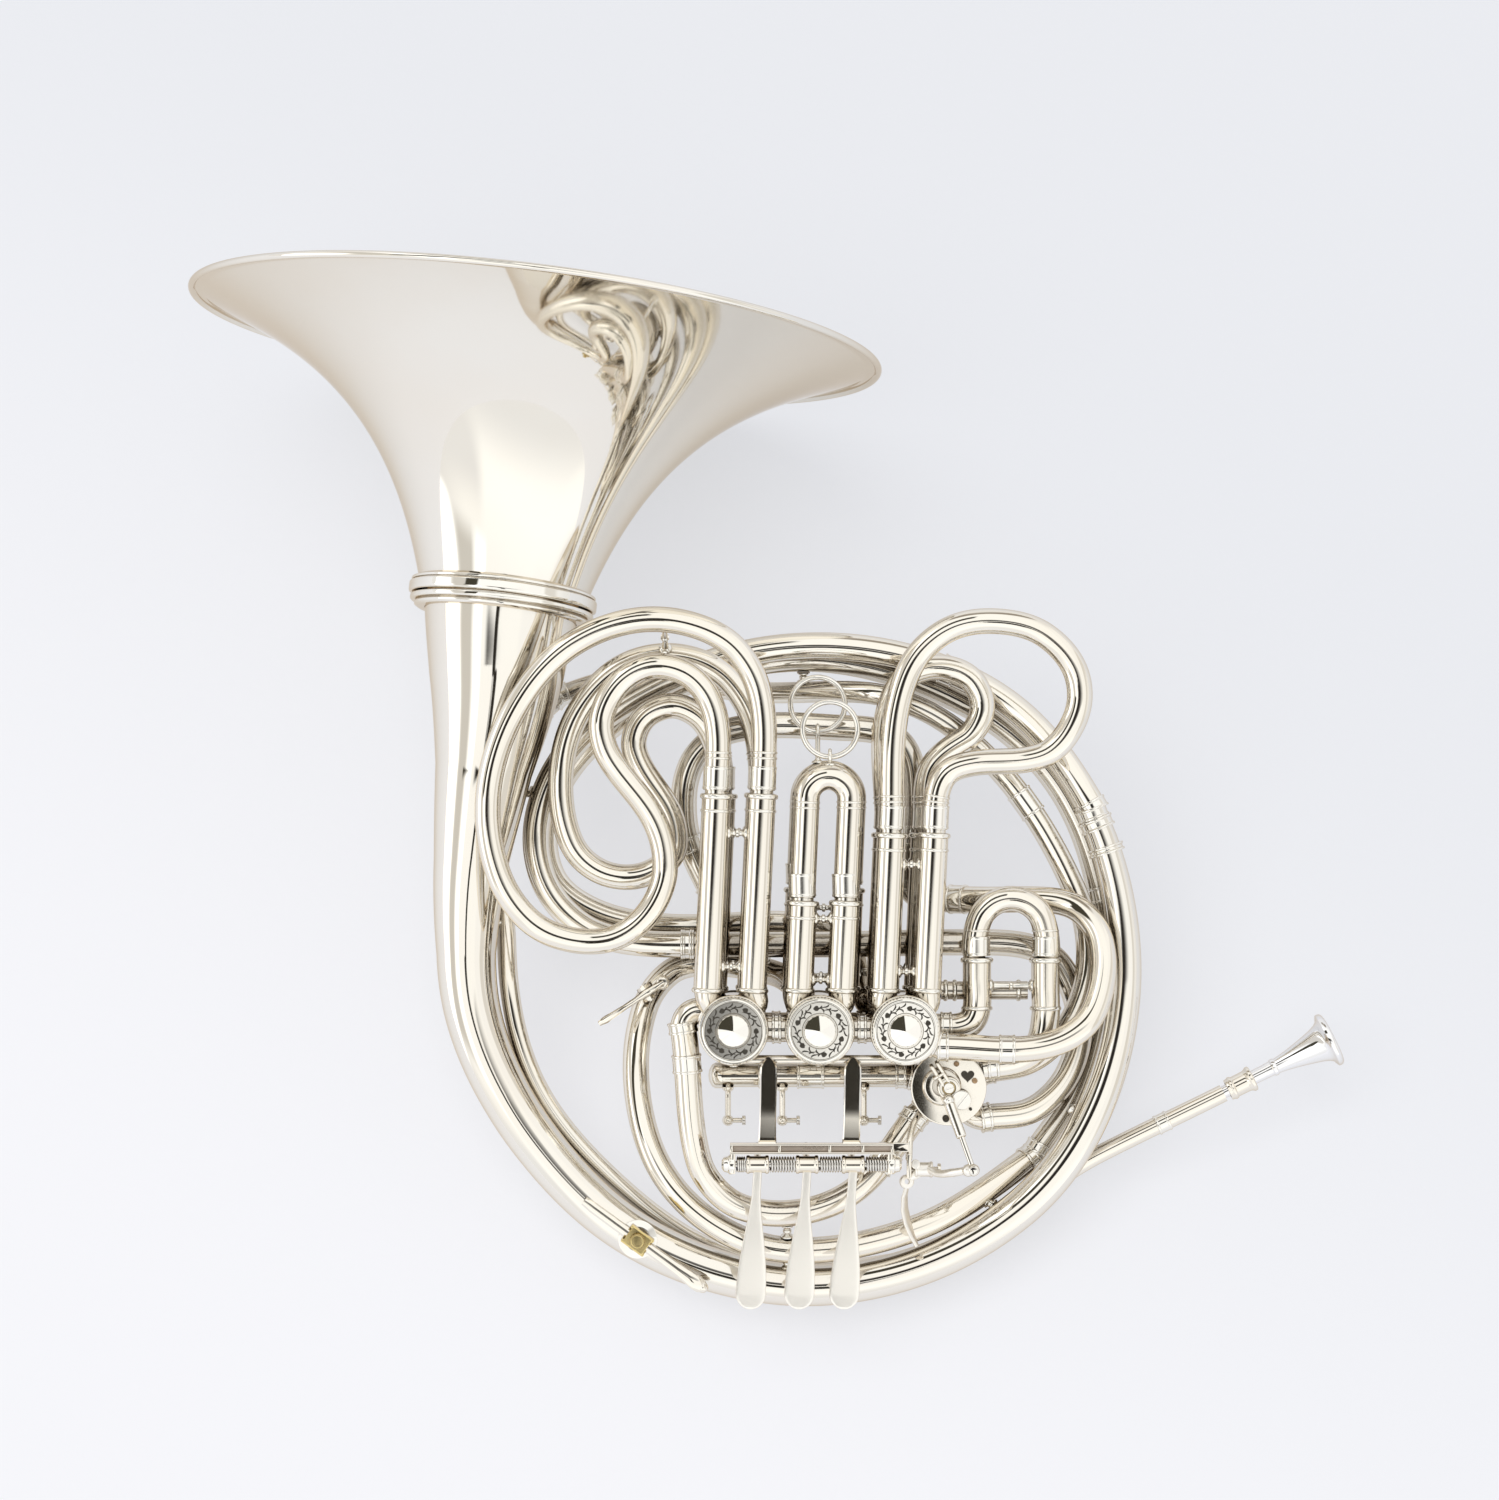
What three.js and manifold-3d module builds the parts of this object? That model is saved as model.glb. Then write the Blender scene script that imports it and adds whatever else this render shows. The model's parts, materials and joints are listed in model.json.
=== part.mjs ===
// A double horn with a detachable bell: four rotary valves, seven slides and the tubes between them.
// Units are millimetres. The horn is drawn flat, with its valve side up (+Z), its bell towards +Y and its
// mouthpiece towards +X. At the end the whole group is tipped so that it lies on its bell rim and lower bow.
import * as THREE from "three";
import { mergeVertices } from "three/addons/utils/BufferGeometryUtils.js";
import Module from "manifold-3d";

const wasm = await Module();
wasm.setup();

// Driving dimensions.
const REST_TILT = THREE.MathUtils.degToRad(20.3);
const GAP = 0.4;
const WALL = 0.5;
const TUBE_R = 5.8;
const SLEEVE_R = 6.3;
const CROOK_R = 5.6;
const LEG_R = 4.9;
const SIDES = 8;
const MAX_TURN = THREE.MathUtils.degToRad(26);
const MAX_STEP = 60;

const BELL = { ring: [-109.5, 64.5, -11], rim: [-95, 187.5, -24], rimR: 155, scale: 80, power: 1.56 };
const FLARE_WALL = 0.6;
const BEAD_R = 1.5;

const VALVE_X = [67.5, 30.5, -7];
const VALVE_Y = -121.5;
const CASING = { r: 14.8, bore: 13.3, bottom: -14, top: 38 };
const CHANGE = { x: 87, y: -147.5, r: 15.4, bore: 13.9, bottom: -24, top: 15 };
const CASING_FLOOR = 3;
const ROTOR_CLEARANCE = 0.6;
const ROTOR_WALL = 3;
const JOURNAL_R = 3;
const CAP_HEIGHT = 7;

// The slides meet the valves along one line. Their legs fan out by this slope.
const SLIDE_BASE_Y = -104.6;
const LEG_SLOPE = 0.045;
const POST_R = 1.6;
const F_LEVEL = 30;
const B_LEVEL = 2;
const TUNING_LEVEL = 15;

const HINGE = { y: -180, z: 33, r: 1.5, from: -7, to: 61 };
const BARREL = { r: 3.9, half: 5 };
const LEVER_X = [45, 25, 3.5];
const PADDLE = { y: -235.7, z: 40, x: [41, 21.5, 0.5], width: 13, stem: 4, length: 40, thick: 2 };
const TOE = { y: -171, z: -17, elbowZ: -14, r: 1.8 };
const THUMB = { x: 76, y: -183, z: 22, pinR: 1.2, barrelR: 3.4, half: 4 };

const PULL_RING = { r: 12, wire: 1 };
const UPPER_RING = { x: 35, y: -11.5, stem: 1.2 };
const LOWER_RING = { x: 30, y: -10.3, stem: 11 };
const EYE = { r: 2.6, wire: 0.9, sink: 0.6 };

const STOP = { hub: 5.5, thick: 3, arm: 4, bolt: 1.9 };
const WATER_KEY = { x: -45, y: -107, z: -8, turn: THREE.MathUtils.degToRad(-57) };
const HOOK = { x: -49, y: -214.5, z: 14.5, turn: Math.atan2(-41, 56), length: 64 };

const finish = {
  nickel: new THREE.MeshStandardMaterial({ color: 0xd6cfbd, roughness: 0.12, metalness: 1 }),
  silver: new THREE.MeshStandardMaterial({ color: 0xe4e2dc, roughness: 0.1, metalness: 1 }),
  steel: new THREE.MeshStandardMaterial({ color: 0xb9b8b4, roughness: 0.25, metalness: 1 }),
  brass: new THREE.MeshStandardMaterial({ color: 0xb8944a, roughness: 0.3, metalness: 1 }),
};

const horn = new THREE.Group();

function add(name, geometry, material = finish.nickel) {
  const mesh = new THREE.Mesh(geometry, material);
  mesh.name = name;
  horn.add(mesh);
  return mesh;
}

const vec = (p) => new THREE.Vector3(...p);

// Booleans.
function solid(geometry) {
  const bare = geometry.clone();
  bare.deleteAttribute("normal");
  bare.deleteAttribute("uv");
  const merged = mergeVertices(bare, 1e-3);
  const vertProperties = new Float32Array(merged.attributes.position.array);
  const triVerts = new Uint32Array(merged.index.array);
  return new wasm.Manifold(new wasm.Mesh({ numProp: 3, vertProperties, triVerts }));
}

function surface(body) {
  const mesh = body.getMesh();
  const geometry = new THREE.BufferGeometry();
  geometry.setAttribute("position", new THREE.BufferAttribute(mesh.vertProperties, 3));
  geometry.setIndex(new THREE.BufferAttribute(mesh.triVerts, 1));
  return geometry;
}

const join = (...parts) => surface(parts.map(solid).reduce((sum, part) => sum.add(part)));
const cut = (base, ...tools) => surface(
  tools.map(solid).reduce((rest, tool) => rest.subtract(tool), solid(base)),
);

// Plain shapes.
const block = (w, d, h, x, y, z) => new THREE.BoxGeometry(w, d, h).translate(x, y, z);

function rod(from, to, radius, sides = SIDES) {
  const a = vec(from);
  const along = vec(to).sub(a);
  const geometry = new THREE.CylinderGeometry(radius, radius, along.length(), sides);
  const axis = new THREE.Vector3(0, 1, 0);
  const turn = new THREE.Quaternion().setFromUnitVectors(axis, along.clone().normalize());
  return geometry.applyQuaternion(turn).translate(...a.addScaledVector(along, 0.5).toArray());
}

// A closed outline of [radius, height] pairs turned round Z.
function turned(outline, sides = 18) {
  const ends = outline.map(([r, h]) => new THREE.Vector2(r, h));
  if (outline[0][0] > 0) ends.push(ends[0].clone());
  return new THREE.LatheGeometry(ends, sides).rotateX(Math.PI / 2);
}

// The same outline, standing at a point and pointing along a direction.
function turnedAlong(outline, origin, direction, sides = 18) {
  const axis = new THREE.Vector3(0, 0, 1);
  const turn = new THREE.Quaternion().setFromUnitVectors(axis, vec(direction).normalize());
  return turned(outline, sides).applyQuaternion(turn).translate(...origin);
}

// Places along a curve, closer together where it bends.
function marks(curve) {
  const length = curve.getLength();
  const count = Math.ceil(length);
  const found = [0];
  let turnedBy = 0;
  let travelled = 0;
  let last = curve.getTangentAt(0);
  for (let i = 1; i < count; i++) {
    const next = curve.getTangentAt(i / count);
    turnedBy += last.angleTo(next);
    travelled += length / count;
    last = next;
    const nearEnd = (1 - i / count) * length < 3;
    if (nearEnd || (turnedBy < MAX_TURN && travelled < MAX_STEP)) continue;
    found.push(i / count);
    turnedBy = 0;
    travelled = 0;
  }
  return [...found, 1];
}

// A hollow tube: a turned ring outline bent along the curve. Each station is [place, radius].
function bentTube(curve, stations, bore, sides = SIDES) {
  const inner = [...stations].reverse().map(([u]) => [u, bore(u)]);
  const loop = [...stations, ...inner, stations[0]];
  const straight = new THREE.LatheGeometry(loop.map(([u, r]) => new THREE.Vector2(r, u)), sides);
  const places = [...new Set(stations.map(([u]) => u))];
  const frames = new Map();
  let tangent = curve.getTangentAt(0);
  const seed = Math.abs(tangent.z) < 0.9 ? new THREE.Vector3(0, 0, 1) : new THREE.Vector3(1, 0, 0);
  const normal = seed.clone().addScaledVector(tangent, -seed.dot(tangent)).normalize();
  for (const u of places) {
    const next = curve.getTangentAt(u);
    normal.applyQuaternion(new THREE.Quaternion().setFromUnitVectors(tangent, next));
    tangent = next;
    frames.set(u, { centre: curve.getPointAt(u), n: normal.clone(), b: normal.clone().cross(tangent) });
  }
  const position = straight.attributes.position;
  for (let i = 0; i < position.count; i++) {
    const { centre, n, b } = frames.get(loop[i % loop.length][0]);
    const moved = centre.clone().addScaledVector(n, position.getX(i)).addScaledVector(b, position.getZ(i));
    position.setXYZ(i, ...moved.toArray());
  }
  return straight;
}

const curveThrough = (points) => new THREE.CatmullRomCurve3(points.map(vec), false, "centripetal");

// A tube of one size, or tapering from one radius to another.
function tube(points, radius = TUBE_R, endRadius = radius) {
  const curve = curveThrough(points);
  const at = (u) => radius + (endRadius - radius) * u;
  return bentTube(curve, marks(curve).map((u) => [u, at(u)]), (u) => at(u) - WALL);
}

// A slide's crook: thin legs that run inside the sleeves, and a wider bow between them.
function crook(bow, legLength) {
  const first = vec(bow[0]);
  const last = vec(bow.at(-1));
  const path = new THREE.CurvePath();
  const down = (p) => p.clone().add(new THREE.Vector3(-LEG_SLOPE * legLength, -legLength, 0));
  const arch = curveThrough(bow);
  path.add(new THREE.LineCurve3(down(first), first));
  path.add(arch);
  path.add(new THREE.LineCurve3(last, down(last)));
  const whole = path.getLength();
  const share = legLength / whole;
  const bend = marks(arch).map((u) => [share + u * (1 - 2 * share), CROOK_R]);
  const stations = [[0, LEG_R], [share, LEG_R], ...bend, [1 - share, LEG_R], [1, LEG_R]];
  return bentTube(path, stations, () => LEG_R - WALL);
}

// A pair of slide sleeves joined by short posts. Each side is its [x at the valve, x at the mouth].
function sleevePair(lefts, rights, level, mouthY, postYs) {
  const leg = ([base, mouth], end) => {
    const wall = [[SLEEVE_R, 0], [SLEEVE_R, end], [SLEEVE_R - WALL, end], [SLEEVE_R - WALL, 0]];
    const direction = [mouth - base, mouthY - SLIDE_BASE_Y, 0];
    return turnedAlong(wall, [base, SLIDE_BASE_Y, level], direction, 10);
  };
  const length = Math.hypot(lefts[1] - lefts[0], mouthY - SLIDE_BASE_Y);
  const slope = (lefts[1] - lefts[0]) / (mouthY - SLIDE_BASE_Y);
  const posts = postYs.map((y) => {
    const shift = slope * (y - SLIDE_BASE_Y);
    const inset = SLEEVE_R - 0.3;
    return rod([lefts[0] + shift + inset, y, level], [rights[0] + shift - inset, y, level], POST_R);
  });
  return join(leg(lefts, length), leg(rights, length), ...posts);
}

// Bell.
const bellAxis = vec(BELL.rim).sub(vec(BELL.ring));
const bellLength = bellAxis.length();
bellAxis.normalize();
const bellPoint = (w) => vec(BELL.ring).addScaledVector(bellAxis, w);
const flareRadius = (w) => BELL.rimR * (1 + (bellLength - w) / BELL.scale) ** -BELL.power;

function bellFlare() {
  const outer = [];
  const inner = [];
  const rings = 8;
  const start = 0.6;
  const thickening = 0.6;
  const reach = bellLength - 2 * BEAD_R - start;
  for (let i = 0; i <= rings; i++) {
    const w = start + reach * (1 - (1 - i / rings) ** 1.7);
    outer.push([flareRadius(w), w]);
    inner.unshift([flareRadius(w) - FLARE_WALL - thickening * (i / rings), w]);
  }
  const edge = flareRadius(start + reach);
  const bead = [
    [edge + 1, bellLength - 2 * BEAD_R], [BELL.rimR, bellLength - BEAD_R], [BELL.rimR, bellLength - 0.8],
    [BELL.rimR - 0.8, bellLength], [edge + 0.4, bellLength], [edge - 1.4, bellLength - BEAD_R],
  ];
  return turnedAlong([...outer, ...bead, ...inner], BELL.ring, bellAxis.toArray(), 28);
}

function bellScrewRing() {
  const section = [[41, 0.4], [41.8, 1.8], [41.8, 5.2], [41, 6.4], [38.7, 6.4], [38.7, 0.4]];
  return turnedAlong(section, BELL.ring, bellAxis.toArray(), 24);
}

// The tail's centre line, and its radius at shares of its length: a throat like the flare's, then a taper.
const TAIL_LINE = [
  BELL.ring, [-113, 22, -6], [-119, -22, -1], [-124, -66, 0], [-123, -110, 0], [-110, -147, 0],
  [-86, -182, 0], [-48, -215, 0], [13, -235, 0], [75, -227, 0], [130, -192, 0], [158, -142, 0],
  [165, -88, 0], [157, -44, 0], [151, -28, 0],
];
const TAIL_RADII = [
  [0, 34.2], [0.05, 29.5], [0.11, 21.5], [0.17, 16.6], [0.23, 13.2], [0.33, 11.4], [0.55, 9.3], [0.8, 8.2],
  [0.93, 7.4], [1, 6.2],
];
const TAIL_WALL = 0.7;
const THROAT_STEPS = 6;

function tailRadius(u) {
  const i = Math.max(1, TAIL_RADII.findIndex(([place]) => place >= u));
  const [u0, r0] = TAIL_RADII[i - 1];
  const [u1, r1] = TAIL_RADII[i];
  return r0 + ((r1 - r0) * (u - u0)) / (u1 - u0);
}

function bellTail() {
  const curve = curveThrough(TAIL_LINE);
  const throat = TAIL_RADII.slice(1, THROAT_STEPS).map(([u]) => u);
  const places = [...new Set([...marks(curve), ...throat])].sort((a, b) => a - b);
  const spaced = places.filter((u, i) => i === 0 || u - places[i - 1] > 0.01);
  const stations = spaced.map((u) => [u, tailRadius(u)]);
  const body = bentTube(curve, stations, (u) => tailRadius(u) - TAIL_WALL, 10);
  const collar = [[40.6, 0], [32.6, 0], [32.6, -5.6], [38.5, -5.6], [40.6, -2.4]];
  return join(body, turnedAlong(collar, BELL.ring, bellAxis.toArray(), 24));
}

// Main tubes.
const ROUTES = {
  bell_branch_tube: [
    [151, -25, -1], [143, -11, -2], [130, 6, -6], [115, 20, -10], [93, 33, -12], [66, 42, -12],
    [35, 46, -12], [0, 43, -12], [-40, 29, -12], [-79, 1, -12], [-94, -32, -12],
    [-90, -60, -12], [-72, -79, -12], [-44, -86, -12], [-28, -86, -12],
  ],
  return_tube: [
    [-27, -86, -12], [40, -86, -12], [112, -86, -12], [133, -91, -12], [143, -106, -12], [146, -125, -11],
    [139, -146, -8], [124, -159, -4], [104, -162, -2],
  ],
  main_loop_tube: [
    [49, -101, -22], [45, -86, -25], [30, -79, -24], [-20, -79, -24], [-60, -75, -24], [-85, -60, -24],
    [-91, -38, -24], [-82, -11, -24], [-50, 19, -24], [-6, 37, -24], [35, 40, -24],
    [80, 28, -24], [118, 6, -23], [144, -27, -22], [156, -66, -22], [157, -102, -22], [146, -150, -20],
    [128, -177, -16],
  ],
  lower_loop_tube: [
    [124, -181, -15], [94, -201, -1], [60, -214, 6], [13, -219, 8], [-16, -208, 7], [-38, -186, 4],
    [-49, -154, -2], [-49, -128, -10], [-44, -109, -18], [-32, -97, -24], [-12, -95, -24],
    [6, -98, -24],
  ],
  leadpipe: [
    [210, -152, -15], [198, -158, -15], [184, -165, -15], [144, -185, -15], [94, -218, -15], [57, -228, -15],
    [22, -230, -15], [-14, -222, -15], [-50, -199, -13], [-90, -155, -8], [-105, -115, -8], [-108, -78, -14],
    [-112, -40, -30], [-110, -12, -35], [-100, 9, -37], [-86, 23, -38],
  ],
  leadpipe_branch_tube: [
    [-83, 25, -38], [-67, 31, -38], [-40, 32, -38], [0, 26, -36], [35, 26, -22], [60, 24, -13],
    [86, 13, -12], [104, -2, -12], [122, -23, -11], [138, -50, -10], [148, -75, -8], [148, -102, 1],
    [139, -123, 4], [123, -137, 2], [105, -141, 0],
  ],
  inner_bow_tube: [
    [-17, -62, -13], [-26, -44, -13], [-29, -26, -13], [-25, -5, -13], [-10, 8, -13], [15, 9, -13],
    [52, 9, -13], [66, 4, -13], [72, -8, -13], [72, -30, -13], [71, -60, -13],
  ],
  valve_1_bow_tube: [
    [84, -129, 30], [112, -129, 30], [134, -127, 30], [148, -117, 28], [154, -100, 21], [153, -81, 12],
    [143, -69, 5], [128, -66, 2], [108, -66, 0], [90, -66, -10], [79, -66, -13],
  ],
  valve_3_bow_tube: [
    [-29, -121, 22], [-26, -140, 21], [-24, -165, 18], [-21, -183, 16], [-8, -198, 14], [13, -203, 13],
    [35, -199, 12], [51, -189, 10], [63, -174, 8], [72, -162, 6],
  ],
  cross_tube: [[-14, -144, -12], [20, -144, -12], [67, -144, -12]],
};
const ROUTE_RADIUS = {
  bell_branch_tube: [6.2, 5.9],
  leadpipe: [3.9, 4.4],
  leadpipe_branch_tube: [4.4, 5.6],
  main_loop_tube: [5.6, 5.8],
  cross_tube: [5.2],
};

function addRoutes() {
  for (const [name, points] of Object.entries(ROUTES)) {
    add(name, tube(points, ...(ROUTE_RADIUS[name] ?? [TUBE_R])));
  }
}

// Mouthpiece, and the receiver that holds its shank.
const MOUTH = { rim: [258.5, -127.5, -15], inward: [-38, -19, 0], receiver: 39.5 };

function mouthpiece() {
  const outline = [
    [9.2, 0], [11.4, 0], [12.4, 1.2], [12.4, 3], [9, 4.6], [7.2, 9], [3.4, 27], [3.1, 46], [2.5, 57],
    [1.8, 57], [1.8, 30], [2.6, 22], [8.3, 1],
  ];
  return turnedAlong(outline, MOUTH.rim, MOUTH.inward, 16);
}

function mouthpieceReceiver() {
  const along = vec(MOUTH.inward).normalize();
  const mouth = vec(MOUTH.rim).addScaledVector(along, MOUTH.receiver);
  const outline = [[3.7, 0], [5.6, 0], [5.6, 2], [4.7, 4], [4.9, 12.6], [3.7, 12.6]];
  return turnedAlong(outline, mouth.toArray(), MOUTH.inward, 14);
}

// Rotary valves.
function casing({ r, bore, bottom, top }) {
  const floor = bottom + CASING_FLOOR;
  const hole = JOURNAL_R + GAP;
  return turned([[hole, bottom], [r, bottom], [r, top], [bore, top], [bore, floor], [hole, floor]]);
}

// A rotor: a cup on a stem, standing clear of the casing's wall and floor.
function rotor({ bore, bottom, top }, stemBottom, stemTop) {
  const r = bore - ROTOR_CLEARANCE;
  const low = bottom + CASING_FLOOR + ROTOR_CLEARANCE;
  const high = top - ROTOR_WALL;
  const inside = r - ROTOR_WALL;
  const floor = low + ROTOR_WALL;
  return turned([
    [0, stemBottom], [JOURNAL_R, stemBottom], [JOURNAL_R, low], [r, low], [r, high], [inside, high],
    [inside, floor], [JOURNAL_R, floor], [JOURNAL_R, stemTop], [0, stemTop],
  ], 14);
}

function cap(casingSize) {
  const { r, top } = casingSize;
  const seat = top + GAP;
  const roof = seat + CAP_HEIGHT;
  const rim = r - 0.3;
  const hollow = rim - 2;
  return turned([
    [0, seat + 3], [hollow, seat + 3], [hollow, seat], [rim, seat], [rim, roof - 1.6],
    [rim - 1.2, roof - 0.6], [rim - 2.6, roof - 1.4], [7.4, roof - 1.4], [6.6, roof],
    [2.5, roof + 1.2], [0, roof + 1.2],
  ]);
}

function changeCap() {
  const { r, top } = CHANGE;
  const seat = top + GAP;
  const hole = JOURNAL_R + GAP;
  return turned([[hole, seat], [r, seat], [r, seat + 2.4], [r - 1.5, seat + 3], [hole, seat + 3]]);
}

// A clamp hub with an arm that the string or the link turns.
function stopArm(x, y, level, reach) {
  const hole = JOURNAL_R + 0.3;
  const half = STOP.thick / 2;
  const span = Math.hypot(...reach);
  const hub = turned([[hole, -half], [STOP.hub, -half], [STOP.hub, half], [hole, half]], 16);
  const arm = block(span - 4, STOP.arm, STOP.thick - 0.6, span / 2 + 2, 0, 0);
  const bolt = rod([span + 0.5, 0, -1.2], [span + 0.5, 0, 2.8], STOP.bolt);
  return join(hub, arm, bolt).rotateZ(Math.atan2(reach[1], reach[0])).translate(x, y, level);
}

// The three playing valves are turned from below. The change valve's stem comes up through its cap.
function addValves() {
  VALVE_X.forEach((x, i) => {
    const at = (geometry) => geometry.translate(x, VALVE_Y, 0);
    add(`valve_casing_${i + 1}`, at(casing(CASING)));
    add(`valve_cap_${i + 1}`, at(cap(CASING)));
    add(`rotor_${i + 1}`, at(rotor(CASING, CASING.bottom - 8, CASING.top + 1)), finish.brass);
    add(`stop_arm_${i + 1}`, stopArm(x, VALVE_Y, CASING.bottom - 5, [4, -13]), finish.steel);
  });
  const at = (geometry) => geometry.translate(CHANGE.x, CHANGE.y, 0);
  add("change_valve_casing", at(casing(CHANGE)));
  add("change_valve_cap", at(changeCap()));
  add("change_rotor", at(rotor(CHANGE, CHANGE.bottom - 2, CHANGE.top + 8)), finish.brass);
  add("change_stop_arm", stopArm(CHANGE.x, CHANGE.y, CHANGE.top + 6, [6, -5.5]), finish.steel);
}

// Slides. Each row is the x of the two legs where they meet the valve, and the crook's centre line.
const SLIDES = {
  f_slide_3: {
    level: F_LEVEL, base: [-18.4, 1.6], mouthY: -19, legs: 34, posts: [-30, -82],
    bow: [
      [-14.5, -17.5], [-14, 4], [-17, 21], [-27, 33], [-42, 36.5], [-56, 29.5], [-64.5, 13], [-61, -3],
      [-50, -17], [-39.5, -35], [-37, -55], [-45, -72], [-58, -81.5], [-74, -83], [-92, -77], [-106, -61],
      [-113, -38], [-113, -14], [-104, 14], [-85, 40], [-60, 54], [-35, 56.5], [-10, 47.5], [3, 29], [6, 8],
      [5.5, -17.5],
    ],
  },
  f_slide_2: {
    level: F_LEVEL, base: [21.2, 40.2], mouthY: -65.5, legs: 30, posts: [-82],
    bow: [
      [23, -64], [24, -42], [24.8, -24], [27.6, -15], [34.5, -11.5], [41.2, -15], [44, -24], [43, -42],
      [42, -64],
    ],
  },
  f_slide_1: {
    level: F_LEVEL, base: [58.4, 77.4], mouthY: -36, legs: 34, posts: [-45, -82],
    bow: [
      [61.5, -34.5], [62, -4], [65, 22], [73, 41], [88, 53], [106, 56], [126, 51.5], [141, 36], [143, 18],
      [131, -0.5], [110, -5.5], [96, -6], [86, -10], [81.5, -19], [80.5, -34.5],
    ],
  },
  b_flat_slide_3: {
    level: B_LEVEL, base: [-16.4, 1.1], mouthY: -19, legs: 34, posts: [-82],
    bow: [
      [-12.5, -17.5], [-14.5, 1], [-21.5, 14], [-34, 19.5], [-46.5, 14], [-51, 2], [-44, -13], [-34, -30],
      [-34, -46], [-47, -55], [-63, -54.5], [-76, -45], [-82.5, -25], [-81.5, 0], [-73, 20], [-56, 36.5],
      [-35, 41.5], [-14, 35], [0, 17], [4.5, -4], [5, -17.5],
    ],
  },
  b_flat_slide_2: {
    level: B_LEVEL, base: [20.2, 42.2], mouthY: -60.5, legs: 30, posts: [-82],
    bow: [
      [22, -59], [22.5, -40], [23, -23], [26, -13.5], [33, -10], [40.5, -13.5], [44.5, -23], [44.5, -40],
      [44, -59],
    ],
  },
  b_flat_slide_1: {
    level: B_LEVEL, base: [57.4, 74.4], mouthY: -36.5, legs: 34, posts: [-82],
    bow: [
      [60.5, -35], [60, -4], [61, 17], [69, 32], [83, 36.5], [97, 31.5], [102.5, 19], [97.5, 7], [87, 0],
      [79.5, -9], [77.5, -22], [77.5, -35],
    ],
  },
};

// A wire eye on a stem, standing on top of a bow, and the round pull ring that hangs in it.
function eye({ x, y, stem }, level) {
  const foot = y + CROOK_R;
  const ring = new THREE.TorusGeometry(EYE.r, EYE.wire, 5, 10).rotateY(Math.PI / 2);
  ring.translate(x, foot + stem + EYE.r - EYE.sink, level);
  return join(ring, rod([x, foot - 1.2, level], [x, foot + stem, level], 1.4));
}

function pullRing({ x, y, stem }, level) {
  const low = y + CROOK_R + stem + EYE.r - EYE.sink - 0.3;
  return new THREE.TorusGeometry(PULL_RING.r, PULL_RING.wire, 5, 16).translate(x, low + PULL_RING.r, level);
}

function addSlides() {
  for (const [name, { level, base, mouthY, legs, posts, bow }] of Object.entries(SLIDES)) {
    const centre = bow.map(([x, y]) => [x, y, level]);
    let shape = crook(centre, legs);
    if (name === "f_slide_2") shape = join(shape, eye(UPPER_RING, level));
    if (name === "b_flat_slide_2") shape = join(shape, eye(LOWER_RING, level));
    add(name, shape);
    const [left, right] = base;
    const sleeves = sleevePair([left, bow[0][0]], [right, bow.at(-1)[0]], level, mouthY, posts);
    add(`${name}_sleeves`, sleeves);
  }
  add("upper_pull_ring", pullRing(UPPER_RING, F_LEVEL), finish.steel);
  add("lower_pull_ring", pullRing(LOWER_RING, B_LEVEL), finish.steel);
  addTuningSlide();
}

// The main tuning slide: a plain hairpin between two long sleeves.
const TUNING = { left: 99.5, right: 129.5, top: -80, mouth: -91, legs: 19, postY: -103, bowSteps: 6 };

function tuningSlide() {
  const { left, right, top, mouth, legs, bowSteps } = TUNING;
  const z = TUNING_LEVEL;
  const middle = (left + right) / 2;
  const radius = (right - left) / 2;
  const line = [[left, mouth - legs, z], [left, mouth + 1, z], [left, top, z]];
  for (let i = 1; i < bowSteps; i++) {
    const angle = Math.PI * (1 - i / bowSteps);
    line.push([middle + radius * Math.cos(angle), top + radius * Math.sin(angle), z]);
  }
  line.push([right, top, z], [right, mouth + 1, z], [right, mouth - legs, z]);
  const curve = curveThrough(line);
  return bentTube(curve, marks(curve).map((u) => [u, LEG_R]), () => LEG_R - WALL);
}

function addTuningSlide() {
  const { left, right, mouth, postY } = TUNING;
  const z = TUNING_LEVEL;
  add("tuning_slide", tuningSlide());
  const inward = tube([
    [left, mouth, z], [left, -103, z], [left, -114, z], [left - 4.5, -120.5, z], [84.6, -121.5, z],
  ], SLEEVE_R);
  const outward = tube([
    [right, mouth, z], [right, -104, z], [right, -117, z], [right - 2, -129, z], [right - 12, -136, z - 1],
    [105.5, -137.5, z - 1],
  ], SLEEVE_R);
  const inset = SLEEVE_R - 0.4;
  const post = rod([left + inset, postY, z], [right - inset, postY, z], POST_R);
  add("tuning_slide_sleeves", join(inward, outward, post));
}

// Levers, their hinge and the rack that carries them.
const RACK = { barY: -173, barDepth: 5, height: 9, strapX: [7.7, 44.2], strapWidth: 7.5, strapLength: 36.5 };

function leverRack() {
  const { barY, barDepth, height, strapX, strapWidth, strapLength } = RACK;
  const { from, to, y, z, r } = HINGE;
  const bar = block(to - from + 3, barDepth, height, (from + to) / 2, barY, z - 0.5);
  const straps = strapX.map((x) => block(strapWidth, strapLength, 1.8, x, -153.4, z + 1));
  const lugs = [from + 0.5, to - 0.5].map((x) => block(2, 14, height, x, -177.6, z - 0.5));
  const holes = rod([from - 4, y, z], [to + 4, y, z], r + GAP, 12);
  return cut(join(bar, ...straps, ...lugs), holes);
}

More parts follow.
